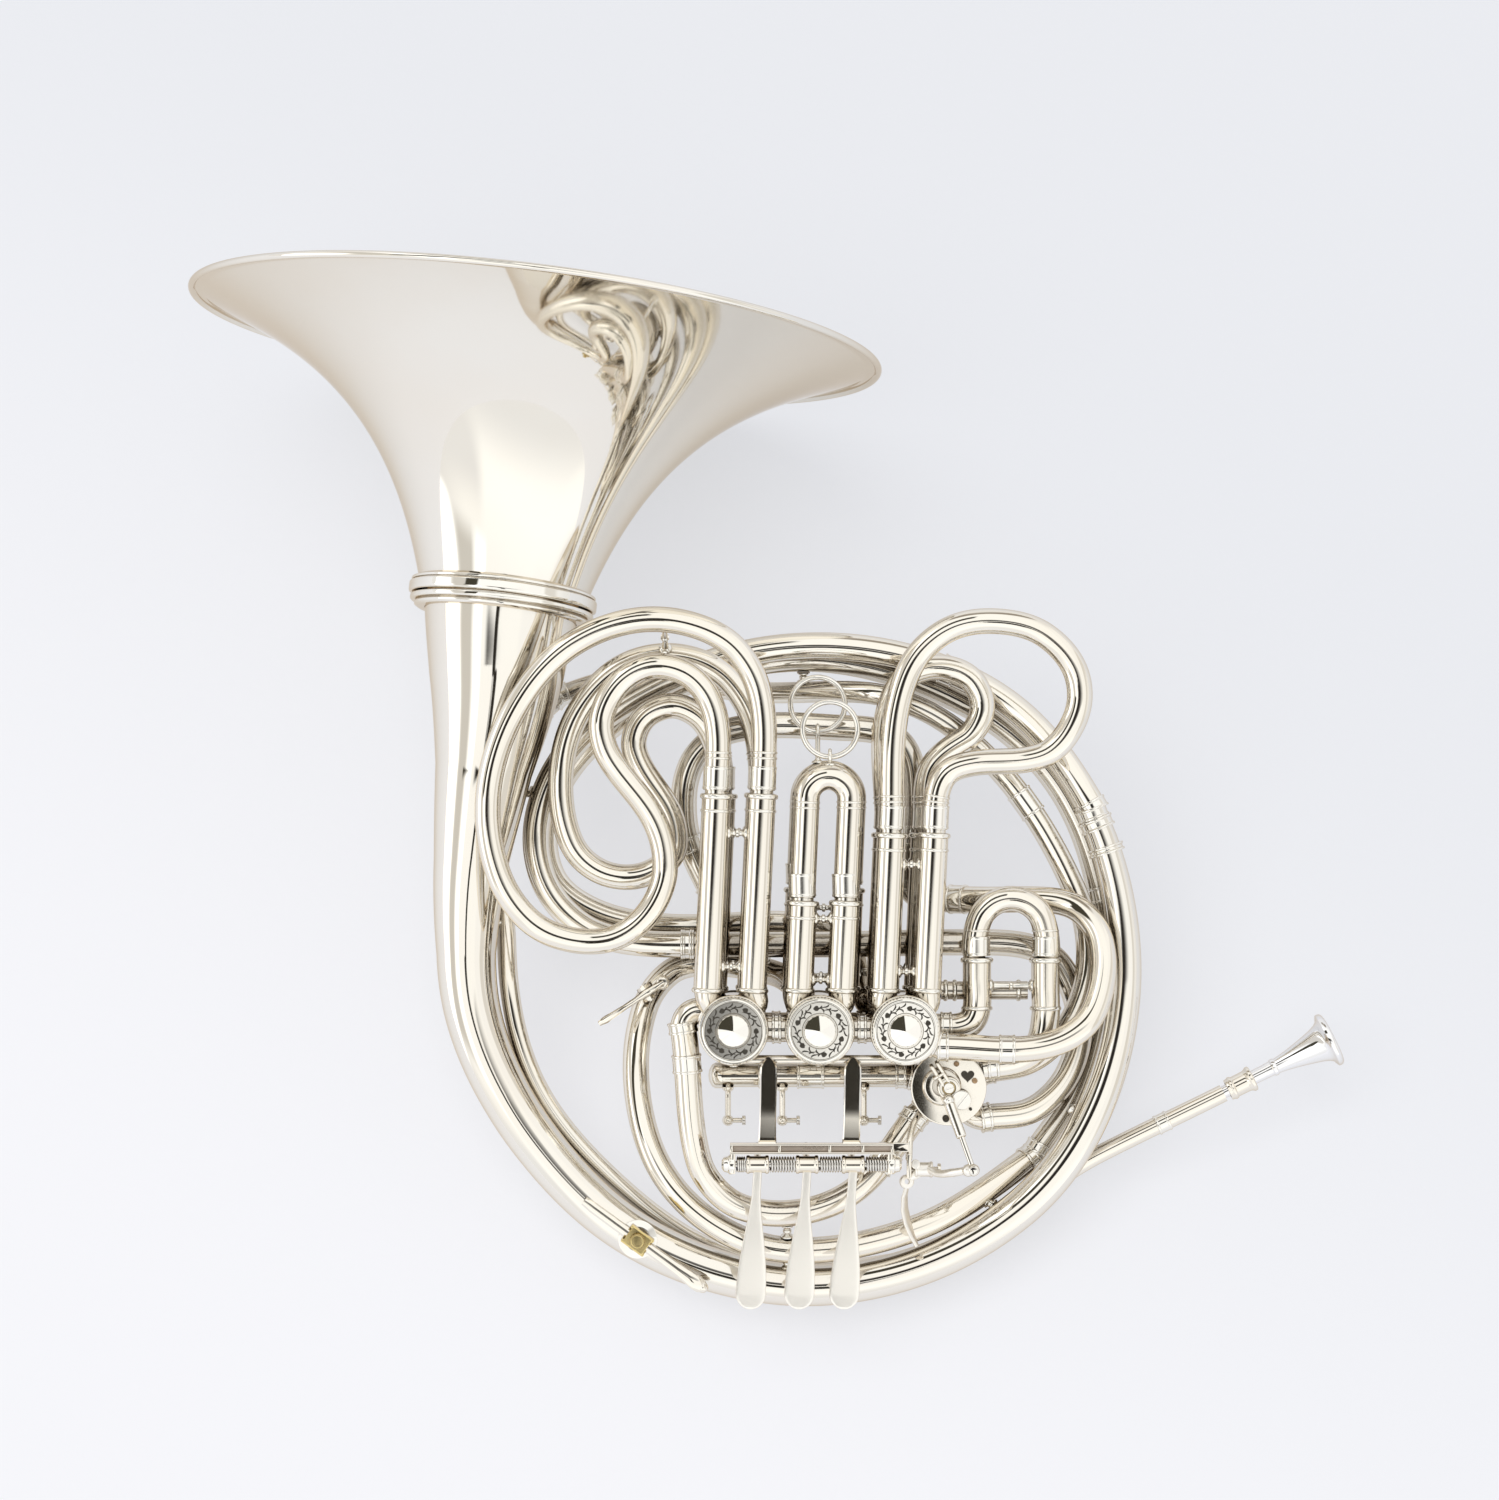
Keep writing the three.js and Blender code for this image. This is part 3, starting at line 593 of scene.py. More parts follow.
def ferrule(body, line, distance, length, rise=0.45):
    """A band at a distance along a tube, shorter where a thin tube bends."""
    place, tangent, radius = along(line, distance)
    if length > 8 and radius < 9:
        near, far = along(line, distance - length / 2), along(line, distance + length / 2)
        if near[1].angle(far[1]) > 0.08:
            length = 7.0
    band(body, place, tangent, radius, length, rise)


lines = {}


def tube(node, ferrules=()):
    """A smooth tube for a CAD tube, with ferrules at distances from its end nearer the mouthpiece."""
    line = smooth_line(stations(node))
    if (line[0][0] - MOUTH_RIM).length > (line[-1][0] - MOUTH_RIM).length:
        line = [(p, -t, r) for p, t, r in line[::-1]]
    lines[node] = line
    mesh_piece(f"{node}_smooth", [swept(line)], NICKEL, body_of[node], [node])
    for distance, *size in ferrules:
        ferrule(body_of[node], line, distance, *size)
    return line


def bell_tail():
    """The tail's stations stop short of its collar, so its throat is finished from the bell's joint."""
    joint = joints["bell_unscrew"]
    ring, axis = Vector(joint["pos_m"]), Vector(joint["axis"])
    found = stations("bell_tail")
    if (found[0][0] - ring).length < (found[-1][0] - ring).length:
        found = [(p, -t, r) for p, t, r in found[::-1]]
    throat_radius, kept_clear = 34.6 * MM, 12 * MM
    clear = [item for item in found if (item[0] - ring).length > kept_clear]
    line = smooth_line([*clear, (ring, axis, throat_radius)], 3.0)
    lines["bell_tail"] = line
    mesh_piece("bell_tail_smooth", [swept(line, 64, 0.8, 30)], BELL_METAL, BODY, ["bell_tail"])
    collar = [
        (33.9, -5.4), (37.2, -5.4), (38.6, -4.6), (38.8, -3.6), (37.9, -3.2), (38.2, -2.9), (40.3, -2.6),
        (40.8, -2.0), (40.8, -0.6), (40.3, -0.1), (33.9, -0.1),
    ]
    fit(BODY, turned(rounded(collar, 0.3), ring, axis, 96))
    for distance, length in ((5, 5.0), (17, 3.5)):
        ferrule(BODY, line, distance, length, 0.9)


# ---------------------------------------------------------------- bell

def profile_of(node, origin, axis):
    """The (height, least radius, greatest radius) rows of a turned CAD node, in mm."""
    rows = {}
    for vertex in nodes[node].data.vertices:
        offset = vertex.co - origin
        height = offset.dot(axis)
        reach = (offset - axis * height).length / MM
        key = round(height / MM, 1)
        low, high = rows.get(key, (reach, reach))
        rows[key] = (min(low, reach), max(high, reach))
    return [(h, *rows[h]) for h in sorted(rows)]


BELL_WALL = 0.7
RIM_BEAD = 1.55
FLARE_REACH = 80
FLARE_STEPS = 48
LIP_STEPS = 14


def bell():
    """The bell's flare with its rolled rim, and the ring that screws it to the tail."""
    joint = joints["bell_unscrew"]
    ring, axis = Vector(joint["pos_m"]), Vector(joint["axis"])
    rows = profile_of("bell_flare", ring, axis)
    front = rows[-1][0]
    rim = max(high for _, _, high in rows)
    outer = [(h, high) for h, low, high in rows if h < front - 2.5]
    back = outer[0][0]
    # The flare is a power of the distance from just beyond the rim, so it is smoothed in the logarithms.
    xs = np.array([math.log(FLARE_REACH + front - h) for h, _ in outer])[::-1]
    ys = np.array([math.log(r) for _, r in outer])[::-1]
    power = np.polyfit(xs, ys, 1)
    flare = []
    for i in range(FLARE_STEPS + 1):
        share = 1 - (1 - i / FLARE_STEPS) ** 1.6
        h = back + (front - 2.2 - back) * share
        flare.append((math.exp(np.polyval(power, math.log(FLARE_REACH + front - h))), h))
    edge, edge_h = flare[-1]
    centre_r, centre_h = rim - RIM_BEAD, front - RIM_BEAD
    angles = [math.radians(-125 + 285 * i / LIP_STEPS) for i in range(LIP_STEPS + 1)]
    lip = [(centre_r + RIM_BEAD * math.cos(a), centre_h + RIM_BEAD * math.sin(a)) for a in angles]
    sheet = [(edge + (centre_r - edge) * t, edge_h + 0.9 * t * t) for t in (0.35, 0.65)]
    inner = [(r - BELL_WALL, h + BELL_WALL * 0.6) for r, h in [*flare, *sheet]][::-1]
    shell = turned([*flare, *sheet, *lip, *inner], ring, axis, 160)
    mesh_piece("bell_flare_smooth", [shell], BELL_METAL, "bell", ["bell_flare"])
    grip = [
        (37.0, 0.5), (40.6, 0.5), (41.6, 1.0), (41.8, 1.8), (41.8, 5.0), (41.3, 5.5), (40.2, 5.6),
        (40.2, 5.9), (41.0, 6.1), (41.0, 7.2), (39.6, 7.8), (38.2, 8.4), (37.4, 8.4), (37.0, 3.0),
    ]
    screw_ring = turned(rounded(grip, 0.3), ring, axis, 128)
    mesh_piece("bell_screw_ring_smooth", [screw_ring], BRIGHT, "bell", ["bell_screw_ring"])


# ---------------------------------------------------------------- mouthpiece

def mouth_parts():
    """The mouthpiece and the receiver that it stands in."""
    inward = way(-38, -19, 0)
    rim = MOUTH_RIM
    outline = [
        (8.4, 0.9), (9.3, 0.1), (10.4, 0.0), (11.5, 0.35), (12.2, 1.1), (12.4, 2.0), (12.3, 2.9),
        (11.2, 3.5), (9.6, 4.2), (8.6, 5.6), (7.6, 8.2), (6.7, 11.5), (5.6, 16.0), (4.6, 20.5), (3.8, 25.0),
        (3.45, 28.0),
        (3.9, 28.6), (3.9, 29.8), (3.35, 30.4), (3.2, 34), (3.1, 46), (2.6, 56.6), (1.9, 56.6), (1.9, 34),
        (2.1, 28), (3.1, 20), (5.0, 12), (7.0, 5),
    ]
    mesh_piece("mouthpiece_smooth", [turned(outline, rim, inward, 64)], SILVER, "mouthpiece", ["mouthpiece"])
    mouth = rim + inward * (39.5 * MM)
    receiver = [
        (3.6, 0), (5.0, 0), (5.7, 0.4), (5.8, 1.6), (5.2, 2.3), (4.75, 3.4), (4.7, 9.2), (5.2, 9.6),
        (5.3, 10.6), (4.9, 11.2), (4.7, 12.5), (3.6, 12.5),
    ]
    socket = turned(rounded(receiver, 0.25), mouth, inward, 48)
    mesh_piece("receiver_smooth", [socket], NICKEL, BODY, ["mouthpiece_receiver"])


# ---------------------------------------------------------------- valves

def knurl(profile_r, top, bottom, count, origin, axis, depth=0.22):
    """A knurled band: a ring whose outside goes in and out."""
    n, b = side_axes(axis)
    rings = []
    low_edge = ((-0.9, bottom), (-0.25, bottom), (0.0, bottom + 0.3))
    high_edge = ((0.0, top - 0.3), (-0.25, top), (-0.9, top))
    for r_offset, h in (*low_edge, *high_edge):
        ring = []
        for i in range(count * 2):
            a = math.pi * i / count
            grooved = depth if (i % 2 and r_offset > -0.5) else 0.0
            r = (profile_r + r_offset - grooved) * MM
            ring.append(origin + axis * (h * MM) + (n * math.cos(a) + b * math.sin(a)) * r)
        rings.append(ring)
    return loft(rings, looped=True)


def flat_stroke(points, widths, lift, centre):
    """A thin raised stroke through points on a level disc, in mm, with a width at each point."""
    rings = []
    for i, (x, y) in enumerate(points):
        before = points[max(0, i - 1)]
        after = points[min(len(points) - 1, i + 1)]
        heading = Vector((after[0] - before[0], after[1] - before[1])).normalized()
        side = Vector((-heading.y, heading.x)) * (widths[i] / 2)
        ring = []
        for sx, h in ((-1, 0.0), (1, 0.0), (0.7, lift), (-0.7, lift)):
            p = Vector((x, y)) + side * sx
            ring.append(centre + ACROSS * (p.x * MM) + OUT * (p.y * MM) + UP * (h * MM))
        rings.append(ring)
    return loft(rings)


def scrollwork(centre, inner, outer, phase):
    """A wreath of dark drops with leaf strokes that sweep between two radii."""
    strokes = []
    drops, leaves = 6, 6
    middle, half = (inner + outer) / 2, (outer - inner) / 2
    sector = 2 * math.pi / drops
    along_drop = np.linspace(-1, 1, 9)
    along_leaf = [i / 8 for i in range(9)]
    drop_widths = [0.15 + 2.2 * math.sqrt(max(0, 1 - t * t)) * (1 - 0.35 * t) for t in along_drop]
    leaf_widths = [0.12 + 0.66 * math.sin(math.pi * t ** 0.7) for t in along_leaf]
    for k in range(drops):
        base = sector * k + phase
        heading = Vector((-math.sin(base), math.cos(base)))
        root = Vector((math.cos(base), math.sin(base))) * (middle + 0.2 * (-1) ** k)
        drop = [tuple(root + heading * (1.25 * t)) for t in along_drop]
        strokes.append(flat_stroke(drop, drop_widths, 0.08, centre))
        for row in range(leaves):
            begin = base + sector * (0.16 + row * 0.12)
            side = (1, -1, 0)[row % 3]
            start = 0.95 * side if side else 0.45
            fall = 1.5 * side if side else 1.0
            leaf = []
            for t in along_leaf:
                r = middle + half * (start - fall * t + 0.5 * side * t * t)
                a = begin + 0.34 * t - 0.10 * math.sin(math.pi * t)
                leaf.append((r * math.cos(a), r * math.sin(a)))
            strokes.append(flat_stroke(leaf, leaf_widths, 0.06, centre))
    for edge in (inner - 0.15, outer + 0.05):
        strokes.append(torus(centre, ACROSS, OUT, edge, 0.1, 72, 6))
    return strokes


def casing_profile(r, lip, shoulder, inside, top, bottom, neck):
    """A valve casing turned from (radius, height) pairs: a boss below, a rib at each end, and open above."""
    return [
        (3.5, bottom), (5.6, bottom), (5.8, bottom + 0.6), *shoulder, (r + lip, bottom + 1.8),
        (r + lip, bottom + 3.0), (r, bottom + 3.4), *neck, (inside, top), (inside, bottom + 3),
        (3.5, bottom + 3),
    ]


def valve(number):
    """One of the three finger valves: its casing, and its cap with a knurled edge, engraving and a boss."""
    pivot = Vector(joints[f"rotor_{number}_turn"]["pos_m"])
    centre = pivot - UP * (VALVE_1.z * MM)
    r, top, bottom = CASINGS[number][2], 38.0, -14.0
    shoulder = [(13.6, bottom + 0.9), (r - 0.2, bottom + 1.2)]
    neck = [(r, top - 4.0), (r + 0.5, top - 3.6), (r + 0.5, top - 0.6), (r, top)]
    casing = turned(rounded(casing_profile(r, 0.5, shoulder, 13.4, top, bottom, neck), 0.25), centre, UP, 72)
    mesh_piece(f"valve_casing_{number}_smooth", [casing], NICKEL, BODY, [f"valve_casing_{number}"])
    roof = top + 7.4
    cap = [
        (0, top + 3.4), (12.4, top + 3.4), (12.4, top + 0.4), (13.9, top + 0.4), (13.9, roof - 1.6),
        (13.7, roof - 0.9), (13.1, roof - 0.6), (12.6, roof - 0.7), (12.4, roof - 1.1), (7.7, roof - 1.1),
        (7.5, roof - 1.6), (7.0, roof - 1.6), (6.9, roof - 0.4), (0, roof - 0.4),
    ]
    name = f"valve_cap_{number}"
    mesh_piece(f"{name}_smooth", [turned(cap, centre, UP, 96)], BRIGHT, BODY, [name])
    mesh_piece(f"{name}_knurl", [knurl(14.55, roof - 1.3, top + 0.5, 60, centre, UP)], BRIGHT, BODY)
    face = centre + UP * ((roof - 1.12) * MM)
    mesh_piece(f"{name}_engraving", scrollwork(face, 7.9, 12.3, 0.35 * number), DARK, BODY)
    cone = [
        (0, roof - 0.4), (6.6, roof - 0.4), (6.8, roof - 0.1), (6.6, roof + 0.25), (0.35, roof + 2.5),
        (0, roof + 2.5),
    ]
    mesh_piece(f"{name}_boss", [turned(cone, centre, UP, 64)], BRIGHT, BODY)


def change_valve():
    """The change valve's casing and cap, the curved stop plate on it, and the clamp on its stem."""
    x, y, r = CASINGS["change"]
    centre = at(x, y, 0)
    top, bottom = 15.0, -24.0
    neck = [(r, top - 2.4), (r + 0.4, top - 2.0), (r + 0.4, top)]
    profile = casing_profile(r, 0.4, [(14.0, bottom + 0.9)], 14.0, top, bottom, neck)
    casing = turned(rounded(profile, 0.25), centre, UP, 72)
    mesh_piece("change_casing_smooth", [casing], NICKEL, BODY, ["change_valve_casing"])
    cap = [
        (3.5, top + 0.4), (r - 0.1, top + 0.4), (r + 0.1, top + 1.0), (r, top + 2.0), (r - 0.6, top + 2.4),
        (r - 4, top + 2.9), (7.6, top + 3.3), (7.0, top + 3.4), (6.6, top + 3.0), (3.5, top + 3.0),
    ]
    lid = turned(rounded(cap, 0.2), centre, UP, 80)
    mesh_piece("change_cap_smooth", [lid], BRIGHT, BODY, ["change_valve_cap"])
    roof = top + 3.1
    disc = [(3.4, 0), (15.9, 0), (16.5, 0.3), (16.6, 0.8), (16.4, 1.3), (15.8, 1.5), (3.4, 1.5)]
    lean = way(0.02, -0.04, 1)
    plate = [turned(disc, centre + UP * ((roof - 0.4) * MM), lean, 96)]
    face = roof + 1.1
    collar = [(4.4, 0), (8.6, 0), (8.3, 0.7), (7.6, 1.3), (7.1, 1.4), (4.4, 1.4)]
    plate.append(turned(collar, at(x - 3.0, y + 0.6, face), lean, 72))
    mesh_piece("change_stop_plate", plate, NICKEL, BODY)
    # The stop's heart-shaped window, drawn as a thin dark shape of painted shade, two corks beside it, and
    # small screws round the plate.
    marks = [heart(at(x + 8.3, y + 5.2, face + 0.3), 2.9)]
    marks += slotted_screw(at(x - 1.2, y - 13.6, face - 0.2), UP, 1.5, 1.0, 0.5)
    marks.append(peg(at(x + 9.6, y - 9.4, face), UP, 0.7, 0, 0.5, 0.1, 16))
    mesh_piece("change_plate_marks", marks, DARK, BODY)
    corks = [peg(at(x + dx, y + dy, face), UP, 1.2, 0, 1.0) for dx, dy in ((3.4, 10.4), (11.4, 3.0))]
    mesh_piece("change_stop_corks", corks, CORK, BODY)
    # The clamp turns with the stem: a split hub, two fingers, and the link's big slotted screw.
    hub = [(3.1, 20.4), (5.0, 20.4), (5.0, 22.9), (4.4, 23.2), (3.1, 23.2)]
    clamp = [turned(rounded(hub, 0.3), centre, UP, 40)]
    arm = [(x + 3.4 * t, y - 3.1 * t, 21.8) for t in (0.9, 1.3, 1.8, 2.2)]
    clamp.append(strip(arm, [6, 5.6, 5.4, 5.2], 2.2, (0, 0, 1), 0.2))
    for shift in (-1.5, 1.5):
        near_x, near_y = x + shift * 0.8, y + shift * 0.5
        finger = [(near_x - 2.0 * t, near_y + 3.2 * t, 22.0 + 0.5 * t) for t in (0.6, 1.4, 2.4, 3.1)]
        clamp.append(wire(finger, 0.95))
    clamp.append(wire([(x - 6.2, y + 4.2, 23.2), (x - 4.4, y + 5.3, 23.6), (x - 2.4, y + 6.5, 23.2)], 0.8))
    foot = at(x + 5.4, y - 5.2, 20.4)
    clamp.append(peg(foot, UP, 4.4, 0, 2.6, sides=40))
    mesh_piece("change_clamp", clamp, NICKEL, "change_rotor", ["change_stop_arm"])
    heads = slotted_screw(foot + UP * (2.5 * MM), UP, 4.0, 1.4, 0.9)
    heads += slotted_screw(centre + UP * (23.0 * MM), UP, 2.2, 1.0, 0.3)
    mesh_piece("change_clamp_screws", heads, BRIGHT, "change_rotor")


def heart(centre, size):
    """A thin dark heart shape of painted shade for an opening, its tip towards the lower edge."""
    rings = []
    for h in (0.0, 0.12):
        ring = []
        for i in range(32):
            a = 2 * math.pi * i / 32
            px = math.sin(a) ** 3
            py = (13 * math.cos(a) - 5 * math.cos(2 * a) - 2 * math.cos(3 * a) - math.cos(4 * a)) / 16
            ring.append(centre + (ACROSS * px + OUT * py) * (size * MM) + UP * (h * MM))
        rings.append(ring)
    return loft(rings)


def slotted_screw(foot, axis, r, height, angle=0.0):
    """A screw head with a slot: two half discs with a gap between them, on a thin base."""
    n, b = side_axes(axis)
    shells = [turned([(0, 0), (r, 0), (r, height * 0.55), (0, height * 0.55)], foot, axis, 20)]
    for side in (1, -1):
        ring_low, ring_high = [], []
        gap = r * 0.16
        for i in range(13):
            a = math.acos(gap / r) * (1 - 2 * i / 12)
            x = r * math.cos(a) * side
            y = r * math.sin(a)
            u = n * math.cos(angle) + b * math.sin(angle)
            v = b * math.cos(angle) - n * math.sin(angle)
            p = foot + (u * x + v * y) * MM
            ring_low.append(p + axis * (height * 0.5 * MM))
            ring_high.append(p + axis * (height * MM))
        shells.append(loft([ring_low, ring_high]))
    return shells


def port(valve_name, degrees, level):
    """Where a tube enters a casing's side, and the way in."""
    x, y, r = CASINGS[valve_name]
    c, s = math.cos(math.radians(degrees)), math.sin(math.radians(degrees))
    return at(x + (r - 1) * c, y + (r - 1) * s, level), way(-c, -s, 0)


def tube_ends(node):
    """Both ends of a tube: the place, the way out of it, and the radius."""
    (place, tangent, radius), last = lines[node][0], lines[node][-1]
    return [(place, -tangent, radius), last]


def nearest_end(node, goal):
    """The end of a tube that is nearest a place."""
    return min(tube_ends(node), key=lambda end: (end[0] - goal).length)


def facing_ends(node, other):
    """The two ends of two tubes that are nearest each other."""
    pairs = [(a, b) for a in tube_ends(node) for b in tube_ends(other)]
    return min(pairs, key=lambda pair: (pair[0][0] - pair[1][0]).length)


def reach(start, goal, heading, radius=None):
    """A short tube from a tube's end to a place, with ferrules over both of its joints."""
    place, tangent, size = start
    end_size = size if radius is None else radius * MM
    begin = (place - tangent * (1.5 * MM), tangent, size * 0.985)
    line = smooth_line([begin, (goal, heading, end_size * 0.985)], 1.0)
    band(BODY, place, tangent, size / MM, 5.0, 0.5)
    return swept(line)


# The valve and level that each pair of slide sleeves leads to, and where slide() finds their feet.
SLEEVE_VALVE = {
    "f_slide_3_sleeves": (3, 30), "f_slide_2_sleeves": (2, 30), "f_slide_1_sleeves": (1, 30),
    "b_flat_slide_3_sleeves": (3, 2), "b_flat_slide_2_sleeves": (2, 2), "b_flat_slide_1_sleeves": (1, 2),
}
sleeve_feet = {}


def knuckles():
    """The short tubes between the casings, and those that lead the long tubes into the valves."""
    shells = []
    for left, right in ((-7.0, 30.5), (30.5, 67.5)):
        for level in (26.0, 8.0, -6.0):
            middle = (left + right) / 2
            line = [(at(middle + d, VALVE_Y, level), ACROSS, 5.7 * MM) for d in (-7, -3.5, 0, 3.5, 7)]
            shells.append(swept(line))
            band(BODY, at(middle, VALVE_Y, level), ACROSS, 5.7, 4.0, 0.45)
    leads = (
        ("return_tube", "change", -50, -3), ("leadpipe_branch_tube", "change", 20, 0),
        ("valve_3_bow_tube", "change", 225, 6), ("cross_tube", "change", 168, -12),
        ("valve_1_bow_tube", 1, -25, 30), ("valve_3_bow_tube", 3, 150, 22),
        ("lower_loop_tube", 2, 120, -9), ("main_loop_tube", 1, 150, -9),
    )
    for node, valve_name, degrees, level in leads:
        goal, heading = port(valve_name, degrees, level)
        shells.append(reach(nearest_end(node, goal), goal, heading))
        bead(BODY, goal - heading * (1.2 * MM), heading, 5.7, 2.0, 0.8)
    saddle = at(-17, -81, -12)
    shells.append(reach(nearest_end("inner_bow_tube", saddle), saddle, way(0, -1, 0), 5.0))
    joined = (
        ("main_loop_tube", "lower_loop_tube"), ("inner_bow_tube", "valve_1_bow_tube"),
        ("leadpipe_branch_tube", "leadpipe"), ("bell_branch_tube", "bell_tail"),
        ("bell_branch_tube", "return_tube"),
    )
    for node, other in joined:
        begin, (goal, heading, size) = facing_ends(node, other)
        shells.append(reach(begin, goal - heading * (1.5 * MM), -heading, size / MM))
        band(BODY, goal, heading, size / MM, 5.0, 0.5)
    place, heading, size = nearest_end("cross_tube", at(-14, -144, -12))
    r = size / MM
    stopper = [(0, -2), (r + 0.5, -2), (r + 0.5, 1), (r - 0.4, 2.6), (2.6, 3.8), (0, 4.2)]
    shells.append(turned(stopper, place, heading, 40))
    for node, (index, level) in SLEEVE_VALVE.items():
        for base, heading in sleeve_feet[node]:
            x, y, _ = CASINGS[index]
            side = 1 if (base - at(x, y, level)).dot(ACROSS) > 0 else -1
            goal, inward = port(index, 90 - side * 42, level)
            line = smooth_line([(base + heading * MM, -heading, 6.1 * MM), (goal, inward, 5.2 * MM)], 1.0)
            shells.append(swept(line))
            bead(BODY, base, heading, 6.2, 2.2, 0.9)
    mesh_piece("valve_knuckles", shells, NICKEL, BODY)


# ---------------------------------------------------------------- slides

def leg_ends(node, crook_line):
    """The low and high centre of each sleeve of a pair, found about the crook's legs."""
    work = bmesh.new()
    work.from_mesh(nodes[node].data)
    points = [v.co.copy() for v in work.verts]
    work.free()
    found = []
    for tip, towards in ((crook_line[0], crook_line[6]), (crook_line[-1], crook_line[-7])):
        axis = (towards[0] - tip[0]).normalized()
        near = [p for p in points if ((p - tip[0]) - axis * (p - tip[0]).dot(axis)).length < 8.5 * MM]
        heights = [(p - tip[0]).dot(axis) for p in near]
        low, high = min(heights), max(heights)
        foot = [p for p, h in zip(near, heights) if h < low + 0.0008]
        head = [p for p, h in zip(near, heights) if h > high - 0.0008]
        found.append((sum(foot, Vector()) / len(foot), sum(head, Vector()) / len(head)))
    return found


LEG_R = 4.9


def hairpin(foot, mouth, level, bow_y):
    """A crook's centre line: two straight legs and a half circle. Foot and mouth: left x, right x, y."""
    left, right, mouth_y = mouth
    foot_left, foot_right, foot_y = foot
    middle, radius = (left + right) / 2, (right - left) / 2
    rise = bow_y - mouth_y
    shift = (left - foot_left) / (mouth_y - foot_y) * rise
    thin, wide = LEG_R, 5.7
    points = [(foot_left, foot_y, thin), (left, mouth_y - 0.2, thin), (left, mouth_y, wide)]
    points += [(left + shift * t, mouth_y + rise * t, wide) for t in (0.3, 0.65)]
    for i in range(17):
        a = math.pi * (1 - i / 16)
        points.append((middle + shift + radius * math.cos(a), bow_y + radius * math.sin(a), wide))
    points += [(right + shift * t, mouth_y + rise * t, wide) for t in (0.65, 0.3)]
    points += [(right, mouth_y, wide), (right, mouth_y - 0.2, thin), (foot_right, foot_y, thin)]
    return through([(x, y, level) for x, y, _ in points], [r for _, _, r in points])


def slide(name, seam, cap_length=10.0, line=None):
    """A slide's crook with its ferrules, and its pair of sleeves. The seam is in mm from the mouth."""
    if line is None:
        line = tube(name)
    else:
        lines[name] = line
        mesh_piece(f"{name}_smooth", [swept(line)], NICKEL, body_of[name], [name])
    body = body_of[name]
    step = [i for i, item in enumerate(line) if item[2] > 5.3 * MM]
    mouths = [(line[step[0]][0], line[step[0]][1]), (line[step[-1]][0], -line[step[-1]][1])]
    for place, heading in mouths:
        middle = place + heading * ((cap_length / 2 + 0.4) * MM)
        band(body, middle, heading, 5.7, cap_length, 0.22)
    for first in (True, False):
        order = line[step[0]:] if first else line[:step[-1] + 1][::-1]
        for extra in (0, 2.4):
            place, tangent, _ = along(order, seam + extra)
            bead(body, place, tangent, 5.6, 1.0, 0.4)
    pairs = leg_ends(f"{name}_sleeves", line)
    shells, feet = [], []
    for low, high in pairs:
        heading = (high - low).normalized()
        straight = [(low.lerp(high, t), heading, 6.3 * MM) for t in (0, 0.1, 0.5, 0.9, 1)]
        shells.append(swept(straight, 40, 0.7, 5))
        bead(BODY, high - heading * (1.2 * MM), heading, 6.25, 2.4, 1.0)
        bead(BODY, high - heading * (7.5 * MM), heading, 6.25, 1.4, 0.5)
        feet.append((low, heading))
    sleeve_feet[f"{name}_sleeves"] = feet
    (low_a, high_a), (low_b, high_b) = pairs
    for share in (0.12, 0.8):
        a, b = low_a.lerp(high_a, share), low_b.lerp(high_b, share)
        fit(BODY, post(a, b, 6.1, 6.1))
    mesh_piece(f"{name}_sleeves_smooth", shells, NICKEL, BODY, [f"{name}_sleeves"])
    return line


def post(a, b, clear_a, clear_b):
    """A turned brace between two tubes, with a waist, a middle ball and a foot at each end."""
    axis = (b - a).normalized()
    length = (b - a).length / MM - clear_a - clear_b
    foot = min(1.4, length * 0.2)
    half = length / 2
    near = [
        (2.9, 0.0), (2.5, foot * 0.5), (1.5, foot), (1.15, half * 0.55), (1.2, half - 0.9),
        (1.9, half - 0.5), (1.9, half),
    ]
    far = [(r, length - h) for r, h in near[::-1][1:]]
    outline = [(0, -0.4), (2.9, -0.4), *near, *far, (2.9, length + 0.4), (0, length + 0.4)]
    return turned(outline, a + axis * (clear_a * MM), axis, 24)


TUNING_X = (99.5, 129.5)
TUNING_MOUTH = -91
TUNING_LEVEL = 15


